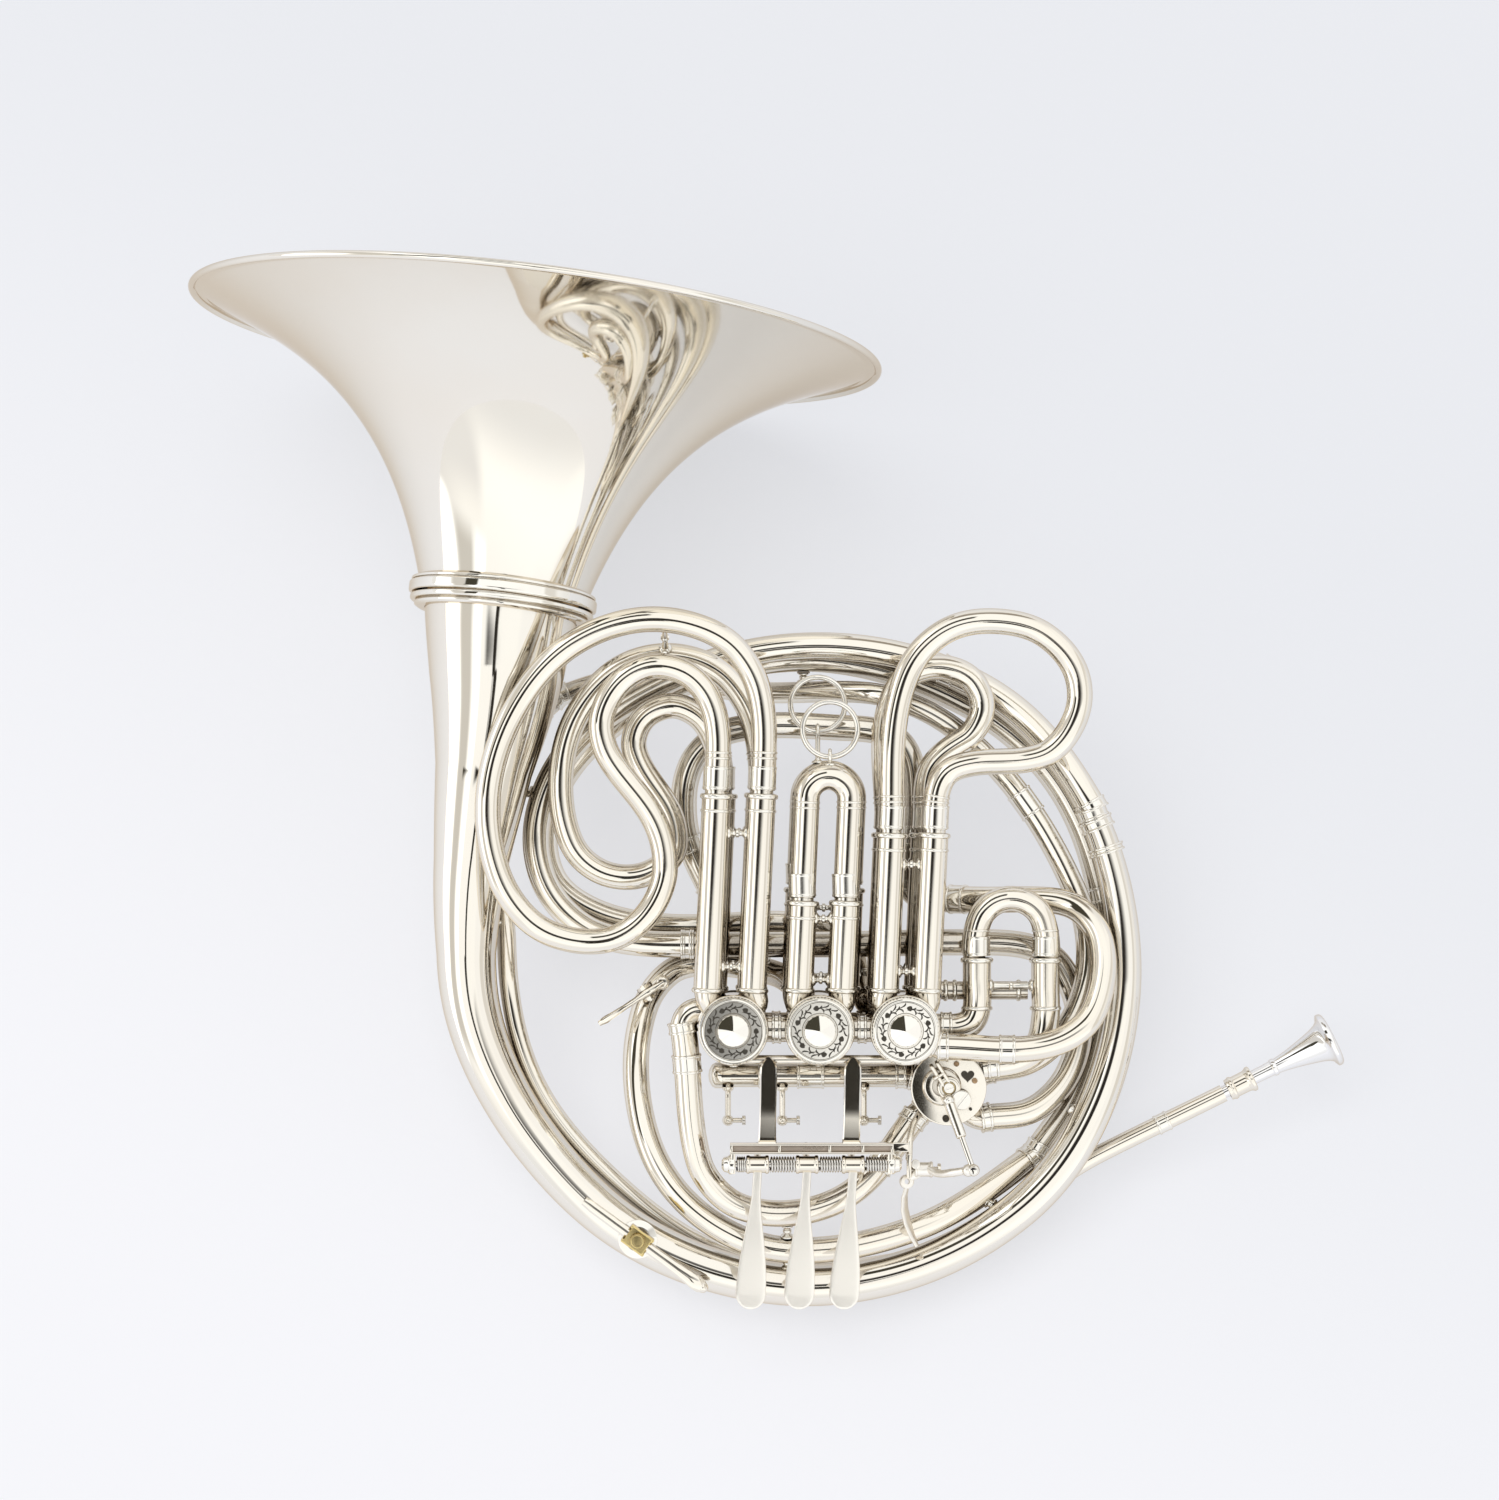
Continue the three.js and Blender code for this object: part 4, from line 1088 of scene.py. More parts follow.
def tuning_slide():
    """The main tuning slide, its two sleeves and their elbows into the valves."""
    line = smooth_line(stations("tuning_slide"))
    total = length_of(line)
    travelled, shaped = 0.0, []
    for i, (place, tangent, _) in enumerate(line):
        if i:
            travelled += (place - line[i - 1][0]).length / MM
        inside = min(travelled, total - travelled)
        shaped.append((place, tangent, (LEG_R if inside < 20 else 5.6) * MM))
    mesh_piece("tuning_slide_smooth", [swept(shaped)], NICKEL, "tuning_slide", ["tuning_slide"])
    shells = []
    left, right = TUNING_X
    mouth, level = TUNING_MOUTH, TUNING_LEVEL
    for x in TUNING_X:
        band("tuning_slide", at(x, mouth + 5.2, level), OUT, 5.6, 8.5, 0.22)
        bead("tuning_slide", at(x, mouth + 12, level), OUT, 5.6, 1.0, 0.4)
        bead(BODY, at(x, mouth - 1, level), OUT, 6.25, 2.4, 1.0)
        bead(BODY, at(x, mouth - 22, level), OUT, 6.25, 1.8, 0.7)
    inward = [
        (left, mouth), (left, -100), (left, -112), (left - 2.4, -118.6), (left - 8, -121.3), (82, VALVE_Y),
    ]
    outward = [
        (right, mouth), (right, -104), (right, -117), (right - 3, -129), (right - 12, -136), (102, -138.5),
    ]
    for route, drop in ((inward, 0), (outward, 1)):
        points = [(x, y, level - drop * (y < -130)) for x, y in route]
        shells.append(swept(through(points, 6.2), 40, 0.7, 5))
    for x, y, heading in ((86, VALVE_Y, ACROSS), (106.5, -137.6, way(1, 0.1, 0))):
        band(BODY, at(x, y, level - (y < -130)), heading, 6.2, 5, 0.5)
    fit(BODY, post(at(left, -103, level), at(right, -103, level), 6.1, 6.1))
    mesh_piece("tuning_sleeves_smooth", shells, NICKEL, BODY, ["tuning_slide_sleeves"])


def torus(centre, first, second, radius, thick, steps=72, sides=12):
    """A round ring in the plane of two directions."""
    rings = []
    across = first.cross(second)
    for a in np.linspace(0, 2 * math.pi, steps + 1)[:-1]:
        out = first * math.cos(a) + second * math.sin(a)
        rings.append(circle(centre + out * (radius * MM), out, across, thick * MM, sides))
    return loft(rings, looped=True)


def rings_and_eyes():
    """The two finger rings, as round wire, and the stemmed eyes that hold them."""
    for node, stem in (("upper_pull_ring", 1.6), ("lower_pull_ring", 11.6)):
        low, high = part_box(node)
        ring = torus((low + high) / 2, ACROSS, OUT, 12, 1.2)
        mesh_piece(f"{node}_wire", [ring], BRIGHT, body_of[node], [node])
        joint = joints[f"{node}_swing"]
        pivot, owner = Vector(joint["pos_m"]), joint["parent"]
        hole = pivot + OUT * (0.3 * MM)
        foot = -2.4 - stem
        profile = [
            (0, foot), (2.9, foot), (2.6, foot + 0.8), (1.5, foot + 1.3), (1.15, foot + 1.9), (1.1, -2.0),
            (0, -2.0),
        ]
        fit(owner, torus(hole, OUT, UP, 2.6, 0.8, 32, 10))
        fit(owner, turned(rounded(profile, 0.2), hole, OUT, 24))


# ---------------------------------------------------------------- levers

HINGE_Y, HINGE_Z = -180, 33
THREAD_R = 0.45


def mirrored(half):
    """A profile from its upper half: the same pairs below, in turn, then those above."""
    return [*[(r, -h) for r, h in half[::-1]], *half]


def plate_section(centre, side, normal, half_width, half_thick):
    """A flat section with rounded ends."""
    ring = []
    for i in range(20):
        a = 2 * math.pi * i / 20
        c, s = math.cos(a), math.sin(a)
        x = half_width * math.copysign(abs(c) ** 0.45, c)
        y = half_thick * math.copysign(abs(s) ** 0.6, s)
        ring.append(centre + side * (x * MM) + normal * (y * MM))
    return ring


def finger_lever(number, x, paddle_x):
    """A teardrop finger plate on a thin crowned stem, its hinge barrel, and the arm of its string."""
    start = Vector((x, -183.2, 33.4))
    end = Vector((paddle_x, -235.7, 40.0))
    heading = (end - start).normalized()
    side = Vector((heading.y, -heading.x, 0)).normalized() * -1
    normal = side.cross(heading).normalized()
    if normal.z < 0:
        normal = -normal
    length = (end - start).length
    stem, half, teardrop = 1.9, 6.5, 44
    rings = []
    places = [0, *range(3, 48, 4), length]
    places += [length + half * math.sin(math.radians(a)) for a in (12, 25, 38, 50, 60, 68, 75, 81, 86)]
    for d in places:
        to_go = length - d
        if to_go >= 0:
            share = max(0.0, min(1.0, 1 - to_go / teardrop))
            width = stem + (half - stem) * share ** 1.5 * (2.2 - 1.2 * share ** 1.4)
        else:
            width = math.sqrt(max(0.04, half * half - to_go * to_go))
        dip = -1.3 * math.sin(math.pi * min(1, d / length)) if d < length else 0.0
        thick = 1.0 if to_go > -half * 0.9 else 0.75
        centre = start + heading * d + normal * dip
        rings.append(plate_section(at(*centre), way(*side), way(*normal), width, thick))
    arm = loft(rings)
    flange = [(3.6, 3.2), (4.0, 3.6), (4.0, 4.6), (3.5, 5), (1.8, 5)]
    barrel = turned(rounded(mirrored(flange), 0.25), at(x, HINGE_Y, HINGE_Z), ACROSS, 40)
    spine = ((-181, 30.5), (-180.5, 18), (-179.6, 0), (-178.6, -10), (-177.2, -15.5))
    back = wire([(x, y, z) for y, z in spine], 1.5)
    name = f"lever_{number}"
    mesh_piece(f"{name}_arm", [arm], SATIN, name, [name])
    mesh_piece(f"{name}_works", [barrel, back], NICKEL, name)
    screw = slotted_screw(at(x, -177, -15.2), UP, 1.7, 1.3, 0.4)
    screw.append(peg(at(x, -177, -17.4), UP, 2.2, -2.4, 2.2))
    mesh_piece(f"{name}_string_screw", screw, STEEL, name)
    loops = [torus(at(x, -177, -18.6 + 0.9 * k), ACROSS, OUT, 2.5, THREAD_R, 32, 8) for k in (0, 1)]
    mesh_piece(f"{name}_string_loop", loops, THREAD, name)


def coil(start, end, radius, thick, turns):
    """A coil spring between two points."""
    length, axis = (end - start).length, (end - start).normalized()
    n, b = side_axes(axis)
    rings = []
    count = turns * 20
    for i in range(count + 1):
        a = 2 * math.pi * turns * i / count
        out = n * math.cos(a) + b * math.sin(a)
        middle = start + axis * (length * i / count) + out * (radius * MM)
        rings.append(circle(middle, out, axis, thick * MM, 8))
    return loft(rings)


RACK_X = (-8.5, 62.5)
STRAP_X = (7.7, 44.2)
CHANNEL_Y = -171


def lever_works():
    """The finger levers, their hinge rod and springs, and the channel that carries them."""
    spots = ((45, 41), (25, 21.5), (3.5, 0.5))
    for number, (x, paddle_x) in enumerate(spots, 1):
        finger_lever(number, x, paddle_x)
    low, high = RACK_X
    rod = [
        (0, low - 3.4), (1.2, low - 3.4), (1.5, low - 3), (1.5, high + 2.2), (1.2, high + 2.6),
        (0, high + 2.6),
    ]
    rod = turned(rod, at(0, HINGE_Y, HINGE_Z), ACROSS, 24)
    mesh_piece("hinge_rod_smooth", [rod], STEEL, BODY, ["lever_hinge_rod"])
    knob = [
        (1.6, -2.2), (4.1, -2.2), (4.3, -1.6), (4.3, 0.2), (3.6, 0.8), (3.2, 2.6), (1.7, 3.6), (1.6, 3.6),
    ]
    for x, outward in ((low, -1), (high, 1)):
        fit(BODY, turned(rounded(knob, 0.3), at(x, HINGE_Y, HINGE_Z), ACROSS * outward, 40))
    springs = []
    for a, b, turns in ((-5.6, -1.9, 4), (8.9, 19.6, 9), (30.4, 39.6, 8), (50.4, 59.6, 8)):
        springs.append(coil(at(a, HINGE_Y, HINGE_Z), at(b, HINGE_Y, HINGE_Z), 3.1, 0.42, turns))
    mesh_piece("lever_springs", springs, STEEL, BODY)

    # The channel: a floor, two walls and five ribs, so that it is open on top, with an arm at each end.
    # The floor's darker brown metal is painted shade in the channel.
    bed = brick((low, -174.6, 28.2), (high, -171.4, 34.4), 0.3)
    mesh_piece("lever_channel_floor", [bed], RECESS, BODY)
    shells = []
    for y in (-175.4, -171.6):
        shells.append(brick((low, y, 30.6), (high, y + 1.0, 36.8), 0.25))
    for x in (low, 12.4, 34.2, 48.6, high - 1.2):
        shells.append(brick((x, -174.8, 30.6), (x + 1.2, -171.2, 36.4), 0.2))
    for x in (low + 0.4, high - 2.4):
        shells.append(brick((x, -184, 29.2), (x + 2, -174.8, 36.6), 0.5))
    strap = (
        (-171.4, 33.9, 8.2), (-168, 34.1, 7.6), (-160, 34.0, 7.3), (-150, 34.2, 7.3), (-142, 34.7, 7.5),
        (-137.6, 35.1, 7.2), (-135.2, 35.3, 5.0), (-133.2, 35.4, 1.8),
    )
    widths = [width for _, _, width in strap]
    for x in STRAP_X:
        spine = [(x + (y - CHANNEL_Y) * 0.02, y, z) for y, z, _ in strap]
        shells.append(strip(spine, widths, 1.7, (0, 0.05, 1)))
        heel = [(x, -170.6, 36.6), (x, -170.2, 35.4), (x, -169.8, 34.2)]
        shells.append(strip(heel, [7.6, 7.6, 7.6], 1.2, (0, 1, 0)))
    mesh_piece("lever_channel", shells, NICKEL, BODY, ["lever_rack"])


def string_posts():
    """Posts that hang from the cross tube, each with a ball and a side screw for a string."""
    shells, screws = [], []
    y, z = -163.6, -8
    foot = [(0, 0), (2.6, 0), (2.4, 1.2), (1.4, 2.0), (0, 2.0)]
    for x in (-9.5, 14.5, 50.5):
        shells.append(wire([(x, -148.4, -9), (x, -152, z), (x, -157, z), (x, -162.5, z)], 1.3))
        shells.append(ball(at(x, y, z), 2.5))
        shells.append(wire([(x, y, z), (x + 3, y, z), (x + 6.4, y, z)], 1.1))
        screws.append(peg(at(x + 6.2, y, z), ACROSS, 2.1, 0, 1.6))
        shells.append(turned(rounded(foot, 0.2), at(x, -148.9, -9), -OUT, 24))
    mesh_piece("string_posts", shells, NICKEL, BODY)
    mesh_piece("string_post_screws", screws, STEEL, BODY)


def thumb_works():
    """The thumb lever with its pierced hub and curved blade, its bracket, and the ball-ended link."""
    x, y, z = 76, -183, 22
    flange = [(3.1, 2.6), (3.5, 2.9), (3.5, 3.6), (3.1, 4), (1.7, 4)]
    shells = [turned(rounded(mirrored(flange), 0.2), at(x, y, z), ACROSS, 36)]
    hub = Vector((x - 7.4, y - 5.4, z - 0.6))
    ring = [(1.2, -1.2), (2.7, -1.2), (3.1, -0.8), (3.1, 0.8), (2.7, 1.2), (1.2, 1.2)]
    shells.append(turned(ring, at(*hub), way(0.25, 0.1, 1), 36))
    neck = [(x - 2.6, y - 1.2, z + 0.4), (x - 4, y - 2.4, z), (hub.x + 1.6, hub.y + 1.8, hub.z + 0.2)]
    shells.append(strip(neck, [5.2, 4.4, 3.4], 2.0, (0.1, 0, 1), 0.2))
    blade = [
        (0, -2.4, -0.2), (-0.9, -6.5, -1.6), (-0.9, -12, -3.0), (0.3, -18, -3.9), (2.4, -24, -4.2),
        (4.6, -28.6, -3.8),
    ]
    spine = [(hub.x + dx, hub.y + dy, hub.z + dz) for dx, dy, dz in blade]
    shells.append(strip(spine, [3.4, 6.0, 7.2, 7.0, 5.0, 2.6], 1.3, (1, 0.15, 0.42), 0.25))
    rise = [
        (x + 2.6, y + 0.2, z + 1.6), (x + 6, y - 1.4, z + 5.0), (x + 12, y - 0.6, z + 11),
        (x + 18.4, y + 0.8, z + 15.8),
    ]
    shells.append(wire(rise, [1.9, 1.6, 1.8, 1.6]))
    shells.append(ball(at(x + 18.8, y + 0.8, z + 16.0), 2.7))
    shells.append(peg(at(x - 3.6, y + 2.4, z + 0.8), UP, 2.0, 0, 2.6, sides=28))
    mesh_piece("thumb_lever_smooth", shells, SATIN, "thumb_lever", ["thumb_lever"])
    side = x - 6.5
    stay = [
        (side, y + 5, z + 2), (side + 0.4, y + 12, z), (side + 2, y + 19, z - 5), (side + 5, y + 24, z - 9),
    ]
    bracket = [
        turned([(0, -7), (1.2, -7), (1.2, 6.3), (0, 6.6)], at(x, y, z), ACROSS, 20),
        brick((side - 1, y - 3.6, z - 3.2), (side + 1, y + 7, z + 5), 0.4),
        wire(stay, 1.5),
        brick((62.2, -175.0, 25.2), (side, -171.0, 27.4), 0.4),
        peg(at(x + 6, y, z), ACROSS, 2.6, 0, 1.5),
    ]
    mesh_piece("thumb_bracket", bracket, NICKEL, BODY, ["thumb_lever_hinge"])
    low, high = Vector((97, -182, 39)), Vector((86.6, -152.5, 28.4))
    step = high - low
    spots = [tuple(low + step * t) for t in (0.02, 0.3, 0.55, 0.8, 0.97)]
    link = [wire(spots, 1.2), ball(at(*low), 2.7), ball(at(*high), 2.7)]
    sleeve = [(1.0, 0), (2.0, 0), (2.3, 0.4), (2.3, 15.6), (2.0, 16), (1.0, 16)]
    link.append(turned(rounded(sleeve, 0.2), at(*(low + step * 0.47)), way(*step), 28))
    link.append(peg(at(*low) + UP * (2.0 * MM), UP, 1.7, 0, 1.6))
    mesh_piece("thumb_link_smooth", link, BRIGHT, "thumb_link", ["thumb_link_rod"])


def keep(node, material):
    """A CAD node that keeps its shape, with its edges eased."""
    piece = nodes[node]
    piece.data.materials.clear()
    piece.data.materials.append(material)
    weld = piece.modifiers.new("weld", "WELD")
    weld.merge_threshold = 2e-5
    ease = piece.modifiers.new("ease", "BEVEL")
    ease.width = 0.3 * MM
    ease.segments = 2
    ease.limit_method = "ANGLE"
    ease.angle_limit = math.radians(40)
    ease.harden_normals = False
    for polygon in piece.data.polygons:
        polygon.use_smooth = False


# ---------------------------------------------------------------- small parts

def braces():
    """Turned posts between neighbouring tubes, and the two cross rods beside the valves."""
    spots = [
        ((-119, -22, -1), (-91, -18, -14), 20.9, 6.0), ((-122, -62, 0), (-108, -80, -15), 14.8, 4.2),
        ((-110, 30, -8), (-86, 24, -38), 26.5, 4.3), ((16.5, -234.5, 0), (16.5, -218.5, 8), 9.1, 5.9),
        ((16.5, -218.5, 8), (16.5, -203, 12.8), 5.9, 5.9), ((114, -205, 0), (101, -196.5, -5), 8.7, 5.9),
        ((150, -163, 0), (141, -158, -18), 8.4, 5.9), ((24, 45.3, -11.5), (24, 39.6, -23.5), 5.9, 5.8),
        ((24, 39.6, -23.5), (24, 26, -27), 5.8, 5.0), ((-38, 29.5, -11.5), (-36, 41.3, 2), 6.0, 6.2),
        ((-7, -144, -12), (-7, -134.5, -10), 5.2, 0.5), ((30.5, -144, -12), (30.5, -134.5, -10), 5.2, 0.5),
    ]
    for a, b, clear_a, clear_b in spots:
        start, end = at(*a), at(*b)
        if (end - start).length / MM - clear_a - clear_b > 0.6:
            fit(BODY, post(start, end, clear_a - 0.2, clear_b - 0.2))
    fit("f_slide_3", post(at(-37, 56.2, 30), at(-37, 42, 2), 5.5, 6.1))
    rod = [(at(x, -105.5, 8), ACROSS, 4.0 * MM) for x in (84, 92, 98, 110, 122)]
    shells = [swept(rod, 28)]
    shells.append(wire([(x, -134.6, 31) for x in (-6, 12, 30, 48, 66)], 2.0))
    mesh_piece("cross_rods", shells, NICKEL, BODY)
    for x in (86, 90, 118):
        bead(BODY, at(x, -105.5, 8), ACROSS, 4.0, 2.0, 0.8)
    for x in (5, 48):
        bead(BODY, at(x, -144, -12), ACROSS, 5.2, 2.2, 0.8)


def local(origin, turn):
    """A place in a small part's own frame, turned about the horn's Z, as a place in the horn's frame."""
    c, s = math.cos(turn), math.sin(turn)
    ox, oy, oz = origin
    return lambda x, y, z: (ox + c * x - s * y, oy + s * x + c * y, oz + z)


def water_key():
    """The spring lever that closes the drain in the lower loop."""
    turn = math.radians(-57)
    spot = local((-45, -107, -8), turn)
    side = way(math.cos(turn), math.sin(turn), 0)
    outline = [
        (-3.6, -2.6), (3.6, -2.6), (3.4, -0.5), (2.4, 1.0), (1.9, 2.0), (0, 2.7), (-1.9, 2.0), (-2.4, 1.0),
        (-3.4, -0.5),
    ]
    ears = []
    for x in (-2.6, 2.6):
        ears.append(loft([[at(*spot(x + offset, y, z)) for y, z in outline] for offset in (-0.8, 0.8)]))
    corners = ((-3.4, -3.6), (3.4, -3.6), (3.4, 3.6), (-3.4, 3.6))
    ears.append(loft([[at(*spot(x, y, z)) for x, y in corners] for z in (-2.4, -0.8)]))
    pin = [(0.7, 3.3), (1.5, 3.3), (1.5, 4), (0, 4)]
    ears.append(turned(mirrored(pin), at(*spot(0, 0, 1)), side, 20))
    mesh_piece("water_key_saddle_smooth", ears, NICKEL, BODY, ["water_key_saddle"])
    spine = [
        (8.6, 3.4), (5, 3.6), (2, 3.3), (-1, 3.1), (-6, 3.6), (-12, 4.2), (-18, 4.0), (-22, 3.2),
        (-25.4, 2.6),
    ]
    widths = [2.0, 3.2, 3.0, 3.6, 2.6, 2.4, 2.8, 3.4, 2.2]
    lever = [strip([spot(0, y, z) for y, z in spine], widths, 1.3, (0, 0, 1), 0.35)]
    drain = at(*spot(0, 8, 0.4))
    cup = [(0, -2.6), (3.2, -2.6), (3.2, 1.4), (2.2, 2.2), (0, 2.4)]
    lever.append(turned(rounded(cup, 0.3), drain, UP, 32))
    mesh_piece("water_key_lever_smooth", lever, NICKEL, "water_key", ["water_key_lever"])
    cork = turned(rounded([(0, -3.1), (2.5, -3.1), (2.7, -1.9), (0, -1.9)], 0.2), drain, UP, 28)
    mesh_piece("water_key_cork", [cork], CORK, "water_key")
    low, high = at(*spot(-2.0, 0, 1)), at(*spot(2.0, 0, 1))
    mesh_piece("water_key_spring", [coil(low, high, 1.35, 0.28, 5)], STEEL, BODY)


def hexa(half_x, y0, y1, low, high, spot, edge=0.35):
    """A block in a small part's own frame, with its edges eased."""
    outline = [(-half_x, y0), (half_x, y0), (half_x, y1), (-half_x, y1)]
    middle = Vector((sum(x for x, _ in outline) / 4, sum(y for _, y in outline) / 4))
    rings = []
    for z, cut in ((low, edge), (low + edge, 0), (high - edge, 0), (high, edge)):
        ring = []
        for i, (x, y) in enumerate(outline):
            corner = Vector((x, y))
            for other in (outline[i - 1], outline[(i + 1) % 4]):
                step = (Vector(other) - corner).normalized() * edge
                inward = Vector((math.copysign(cut, middle.x - x), math.copysign(cut, middle.y - y)))
                q = corner + step + inward
                ring.append(at(*spot(q.x, q.y, z)))
        rings.append(ring)
    return loft(rings)


def finger_hook():
    """The little finger's strip, which slides in a screwed clamp on the lower bow."""
    turn = math.atan2(-41, 56)
    spot = local((-49, -214.5, 14.5), turn)
    spine = [
        (-29, 0.1), (-24, 0), (-12, 0), (0, 0), (12, 0), (22, 0), (28, 0.1), (31.5, 0), (34.2, -0.5),
        (36, -1.6),
    ]
    widths = [4.0, 5.0, 5.0, 5.0, 5.0, 5.4, 6.2, 6.8, 6.2, 4.4]
    strap = strip([spot(x, 0, z) for x, z in spine], widths, 1.6, (0, 0, 1), 0.5)
    tip = ball(at(*spot(35.4, 0, -1.6)), 2.4)
    mesh_piece("finger_hook_smooth", [strap, tip], NICKEL, "finger_hook", ["finger_hook"])
    walls = ((6, -4.5, -2.9, -4, 4), (6, 2.9, 4.5, -4, 4))
    bed, lid = (6, -4.5, 4.5, -4, -1.4), (5.2, -4.1, 4.1, 1.5, 4.6)
    shells = [hexa(*block, spot) for block in (*walls, bed, lid)]
    mesh_piece("finger_hook_clamp", shells, CLAMP, BODY, ["finger_hook_base"])
    middle = at(*spot(0, 0, 0))
    plate = [(0, -4.4), (8, -4.4), (8.6, -3.8), (5.5, -3.2), (0, -3.2)]
    fit(BODY, turned(rounded(plate, 0.3), middle, UP, 40))
    stem = [(0, 1.5), (1.3, 1.5), (1.3, 4.4), (2.2, 4.6), (2.2, 5.4), (0, 5.4)]
    screw = [turned(rounded(stem, 0.2), middle, UP, 28)]
    screw.append(knurl(3.5, 8.8, 5.3, 18, middle, UP, 0.3))
    screw.append(peg(middle, UP, 2.9, 5.2, 9.0, 0.4, 28))
    mesh_piece("finger_hook_screw_smooth", screw, CLAMP, "hook_screw", ["finger_hook_screw"])


def trim():
    """One piece for all the small fittings of each body."""
    for body, shells in fittings.items():
        mesh_piece(f"fittings_{body}", shells, BRIGHT, body)


# ---------------------------------------------------------------- the horn

bell()
bell_tail()
mouth_parts()
# Each tube's ferrules as (distance from an end, length) or (distance, length, rise), in mm.
tube("bell_branch_tube", [(90, 11)])
tube("return_tube", [(70, 10)])
tube("main_loop_tube", [(120, 12)])
tube("lower_loop_tube")
tube("leadpipe", [(30, 6, 0.35), (-10, 9, 0.4)])
tube("leadpipe_branch_tube", [(150, 12)])
tube("inner_bow_tube", [(22, 9), (-22, 9)])
tube("valve_1_bow_tube", [(28, 10), (-14, 8)])
tube("valve_3_bow_tube", [(22, 10), (-16, 8)])
tube("cross_tube", [(40, 12)])
slide("f_slide_3", 14)
slide("f_slide_1", 12)
slide("b_flat_slide_3", 14)
slide("b_flat_slide_1", 12)
slide("f_slide_2", 39, line=hairpin((21.7, 40.7, -94), (23, 42, -64), 30, -21.2))
slide("b_flat_slide_2", 34, 9.0, line=hairpin((20.7, 42.7, -89), (22, 44, -59), 2, -21.2))
tuning_slide()
for number in (1, 2, 3):
    valve(number)
change_valve()
knuckles()
rings_and_eyes()
lever_works()
string_posts()
thumb_works()
water_key()
finger_hook()
braces()
for number in (1, 2, 3):
    keep(f"rotor_{number}", ROTOR)
    keep(f"stop_arm_{number}", STEEL)
    pivot = Vector(joints[f"rotor_{number}_turn"]["pos_m"])
    bolt = pivot + way(4, -13, 0) * (14.1 * MM) - UP * (29 * MM)
    loops = [torus(bolt - UP * (1.2 * MM * k), ACROSS, OUT, 2.3, THREAD_R, 32, 8) for k in (1, 2)]
    mesh_piece(f"rotor_{number}_string_loop", loops, THREAD, f"rotor_{number}")
keep("change_rotor", ROTOR)
trim()


# ---------------------------------------------------------------- stage, light and camera

PAPER_GLOW = 0.62
PAPER_SHARE = 0.38
PAPER_HALF = 6.0
PAPER_DROP = 0.0005
# The paper goes from dull to bright towards the front left: a painted pool of light.
PAPER_DULL = (0.825, 0.835, 0.865)
PAPER_BRIGHT = (0.925, 0.925, 0.95)
TOWARDS_BRIGHT = (-0.5, -0.85, 0)
BRIGHTENING = (-0.3, 0.33)


def paper_inputs(tree):
    """Pale paper with painted light, lighter towards the front left. Some of its light is its own glow,
    painted light that keeps its shadows soft.
    """
    place = grow(tree, "TexCoord", "Object", {})
    slope = grow(tree, "VectorMath", "Value", {0: place, 1: TOWARDS_BRIGHT}, operation="DOT_PRODUCT")
    share = ramp(tree, slope, BRIGHTENING, 0.0, 1.0, interpolation_type="SMOOTHSTEP")
    colour = blend(tree, share, PAPER_DULL, PAPER_BRIGHT)
    fibres = grow(tree, "TexNoise", "Fac", {"Scale": 700, "Vector": place})
    return {
        "Roughness": 0.85,
        "Specular IOR Level": 0.1,
        "Emission Strength": PAPER_GLOW,
        "Emission Color": colour,
        "Base Color": blend(tree, PAPER_SHARE, (0, 0, 0), colour),
        "Normal": grow(tree, "Bump", "Normal", {"Strength": 0.05, "Distance": 0.0003, "Height": fibres}),
    }


def pale_floor():
    """A wide sheet of paper, a hair below the horn."""
    sides = ((-1, -1), (1, -1), (1, 1), (-1, 1))
    mesh = bpy.data.meshes.new("floor")
    mesh.from_pydata([(PAPER_HALF * x, PAPER_HALF * y, -PAPER_DROP) for x, y in sides], [], [(0, 1, 2, 3)])
    floor = bpy.data.objects.new("floor", mesh)
    bpy.context.scene.collection.objects.link(floor)
    mesh.materials.append(painted("pale_paper", paper_inputs))


def lamp():
    """A broad overhead light that brightens the paper and keeps its shadows soft, unseen in the metal."""
    data = bpy.data.lights.new("overhead", "SUN")
    data.energy = 1.25
    data.angle = math.radians(50)
    light = bpy.data.objects.new("overhead", data)
    bpy.context.scene.collection.objects.link(light)
    light.rotation_euler = (math.radians(8), math.radians(-14), 0)
    light.visible_glossy = False


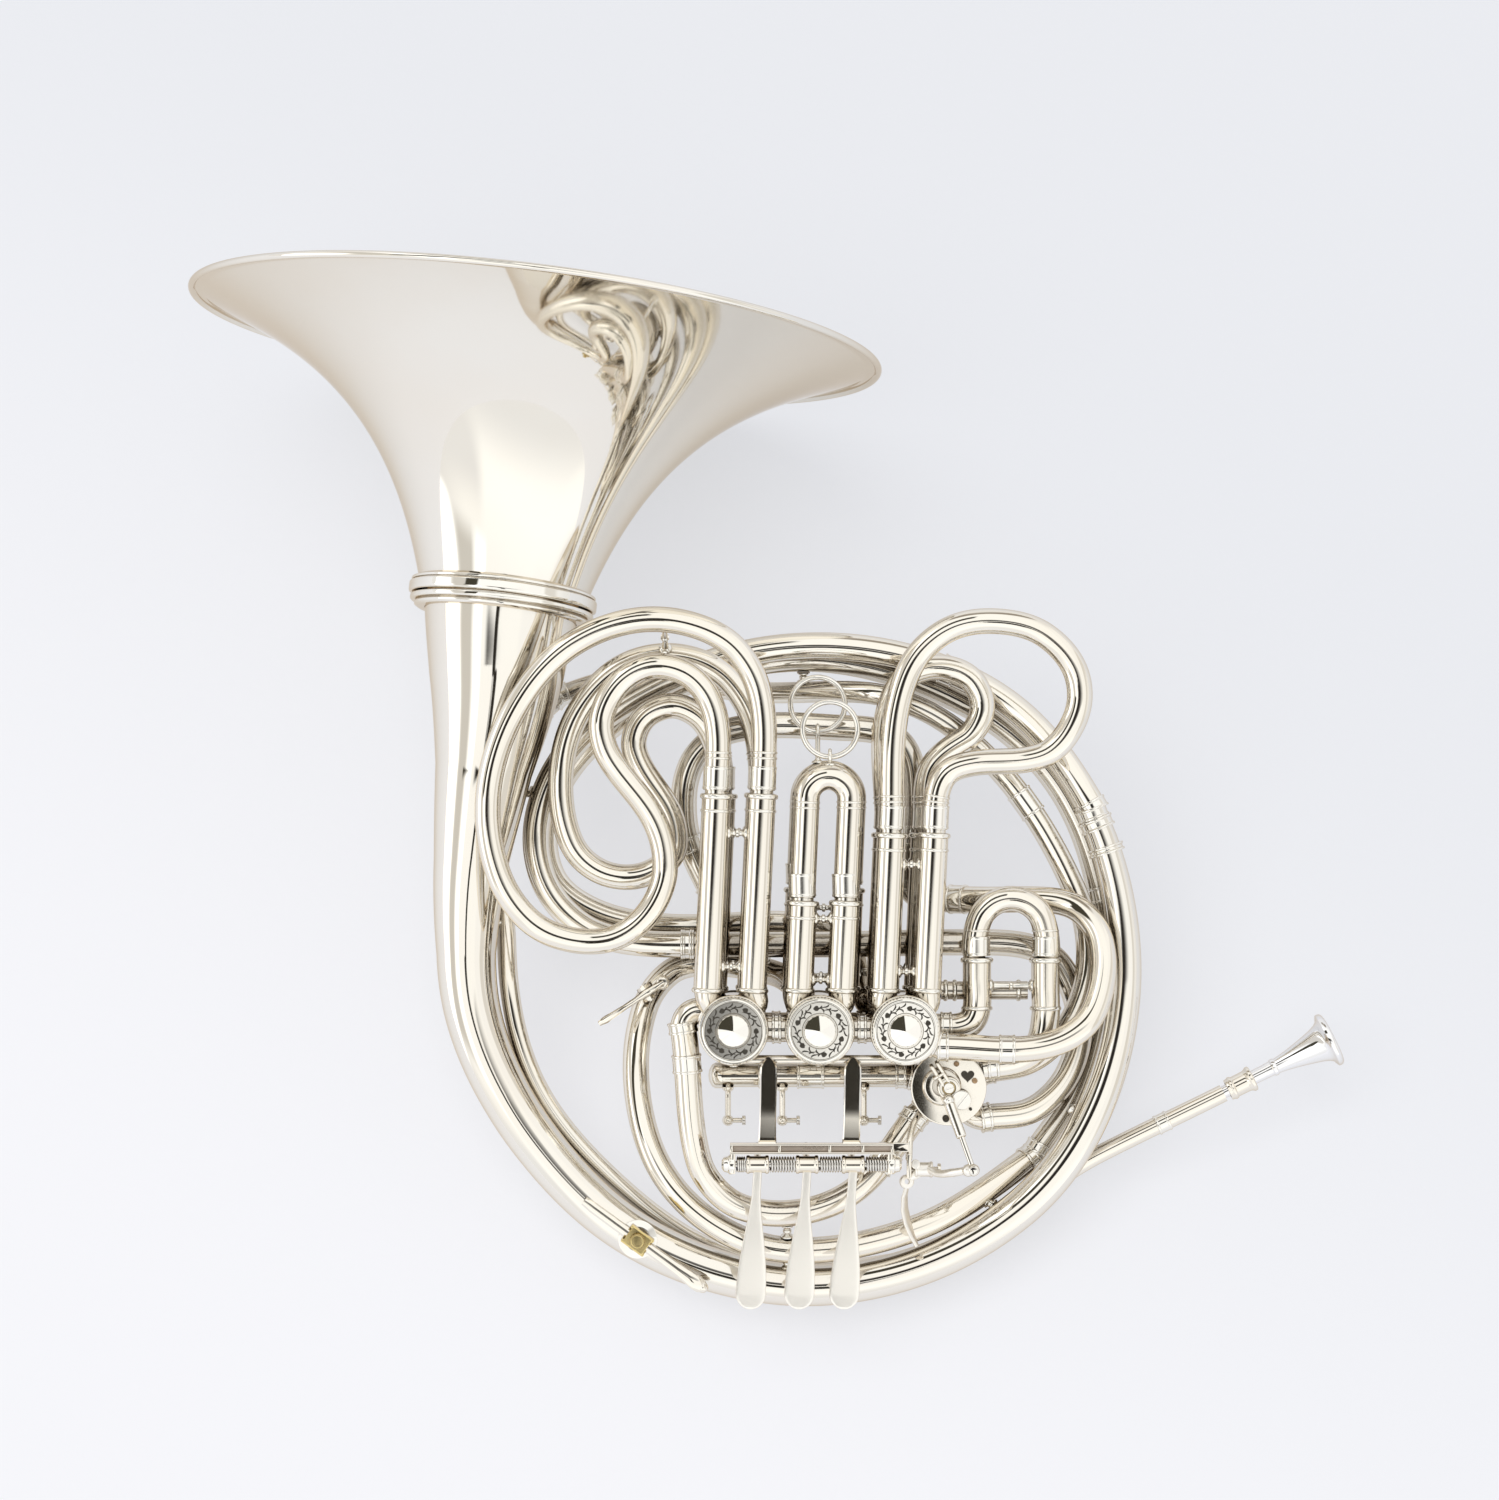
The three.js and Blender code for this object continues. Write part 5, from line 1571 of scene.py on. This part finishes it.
def sky():
    """A bright room: windows on the left, duller walls low down, and dark things overhead."""
    world = bpy.data.worlds.new("room")
    bpy.context.scene.world = world
    world.use_nodes = True
    tree = world.node_tree
    background = tree.nodes["Background"]
    place = grow(tree, "TexCoord", "Generated", {})

    def maths(operation, *values):
        return grow(tree, "Math", "Value", dict(enumerate(values)), operation=operation)

    def towards(direction):
        return grow(tree, "VectorMath", "Value", {0: place, 1: direction}, operation="DOT_PRODUCT")

    def falloff(value, start, end):
        return ramp(tree, value, (start, end), 1.0, 0.0, interpolation_type="SMOOTHSTEP")

    across, out, above = towards(ACROSS), towards(OUT), towards(UP)

    def patch(middle, half, middle_out, half_out, soft):
        """1 inside a patch of the upper half of the room, 0 outside."""
        wide = maths("ABSOLUTE", maths("SUBTRACT", across, middle))
        deep = maths("ABSOLUTE", maths("SUBTRACT", out, middle_out))
        wide, deep = falloff(wide, half, half + soft), falloff(deep, half_out, half_out + soft * 2)
        return maths("MULTIPLY", maths("MULTIPLY", wide, deep), maths("GREATER_THAN", above, 0.0))

    def between(value, low, high, soft_low, soft_high):
        """1 between two limits, with its own softness on each side."""
        rise = falloff(value, low - soft_low, low)
        return maths("MULTIPLY", maths("SUBTRACT", 1.0, rise), falloff(value, high, high + soft_high))

    def area(across_limits, out_limits):
        return maths("MULTIPLY", between(across, *across_limits), between(out, *out_limits))

    # A dark shape overhead, sharp on its left and soft on its right, and its narrow tail towards the front.
    overhead = area((-0.24, -0.04, 0.12, 0.62), (-0.02, 0.12, 0.03, 0.08))
    tail = area((-0.08, -0.02, 0.012, 0.045), (-0.12, -0.03, 0.04, 0.03))
    upper_left = area((-0.9, -0.05, 0.05, 0.03), (0.05, 0.9, 0.03, 0.05))
    wedge = maths("MULTIPLY", upper_left, between(above, 0.69, 0.83, 0.03, 0.03))
    room = blend(tree, falloff(above, 0.0, 0.6), (1.13, 1.12, 1.09), (0.90, 0.89, 0.88))
    layers = (
        (patch(0.0, 1.0, -0.92, 0.3, 0.1), (0.93, 0.93, 0.935)),
        (patch(-0.96, 0.06, 0.2, 0.6, 0.04), (1.6, 1.6, 1.6)),
        (patch(-0.77, 0.07, 0.2, 0.5, 0.06), (0.70, 0.67, 0.62)),
        (patch(-0.53, 0.06, 0.2, 0.5, 0.06), (1.6, 1.6, 1.6)),
        (patch(0.68, 0.07, 0.0, 0.75, 0.1), (1.08, 1.07, 1.05)),
        (patch(0.88, 0.04, 0.0, 0.75, 0.05), (0.80, 0.77, 0.72)),
        (patch(0.0, 0.75, 0.955, 0.02, 0.02), (0.34, 0.30, 0.25)),
        (patch(0.15, 0.6, -0.60, 0.03, 0.14), (1.22, 1.22, 1.2)),
        (wedge, (0.06, 0.055, 0.04)),
        (tail, (0.03, 0.027, 0.022)),
        (patch(0.005, 0.035, -0.19, 0.085, 0.02), (0.03, 0.027, 0.022)),
        (overhead, (0.025, 0.022, 0.02)),
    )
    for factor, colour in layers:
        room = blend(tree, factor, room, colour)
    # Matt things see an even light, so that the paper doesn't take the room's patches.
    diffuse = grow(tree, "LightPath", "Is Diffuse Ray", {})
    feed(tree, background.inputs["Color"], blend(tree, diffuse, room, (0.60, 0.61, 0.64)))
    background.inputs["Strength"].default_value = 1.0


CAMERA_HEIGHT = 2400
LENS = 130.8
SENSOR = 36


def camera():
    """Straight over the horn's own plane, far enough back for little perspective."""
    data = bpy.data.cameras.new("camera")
    data.sensor_width = SENSOR
    data.lens = LENS
    data.clip_end = 20
    eye = bpy.data.objects.new("camera", data)
    bpy.context.scene.collection.objects.link(eye)
    eye.matrix_world = Matrix.Translation(at(0, 0, CAMERA_HEIGHT)) @ TURN.to_4x4()
    bpy.context.scene.camera = eye


pale_floor()
lamp()
sky()
camera()
bpy.context.scene.view_settings.view_transform = "Standard"
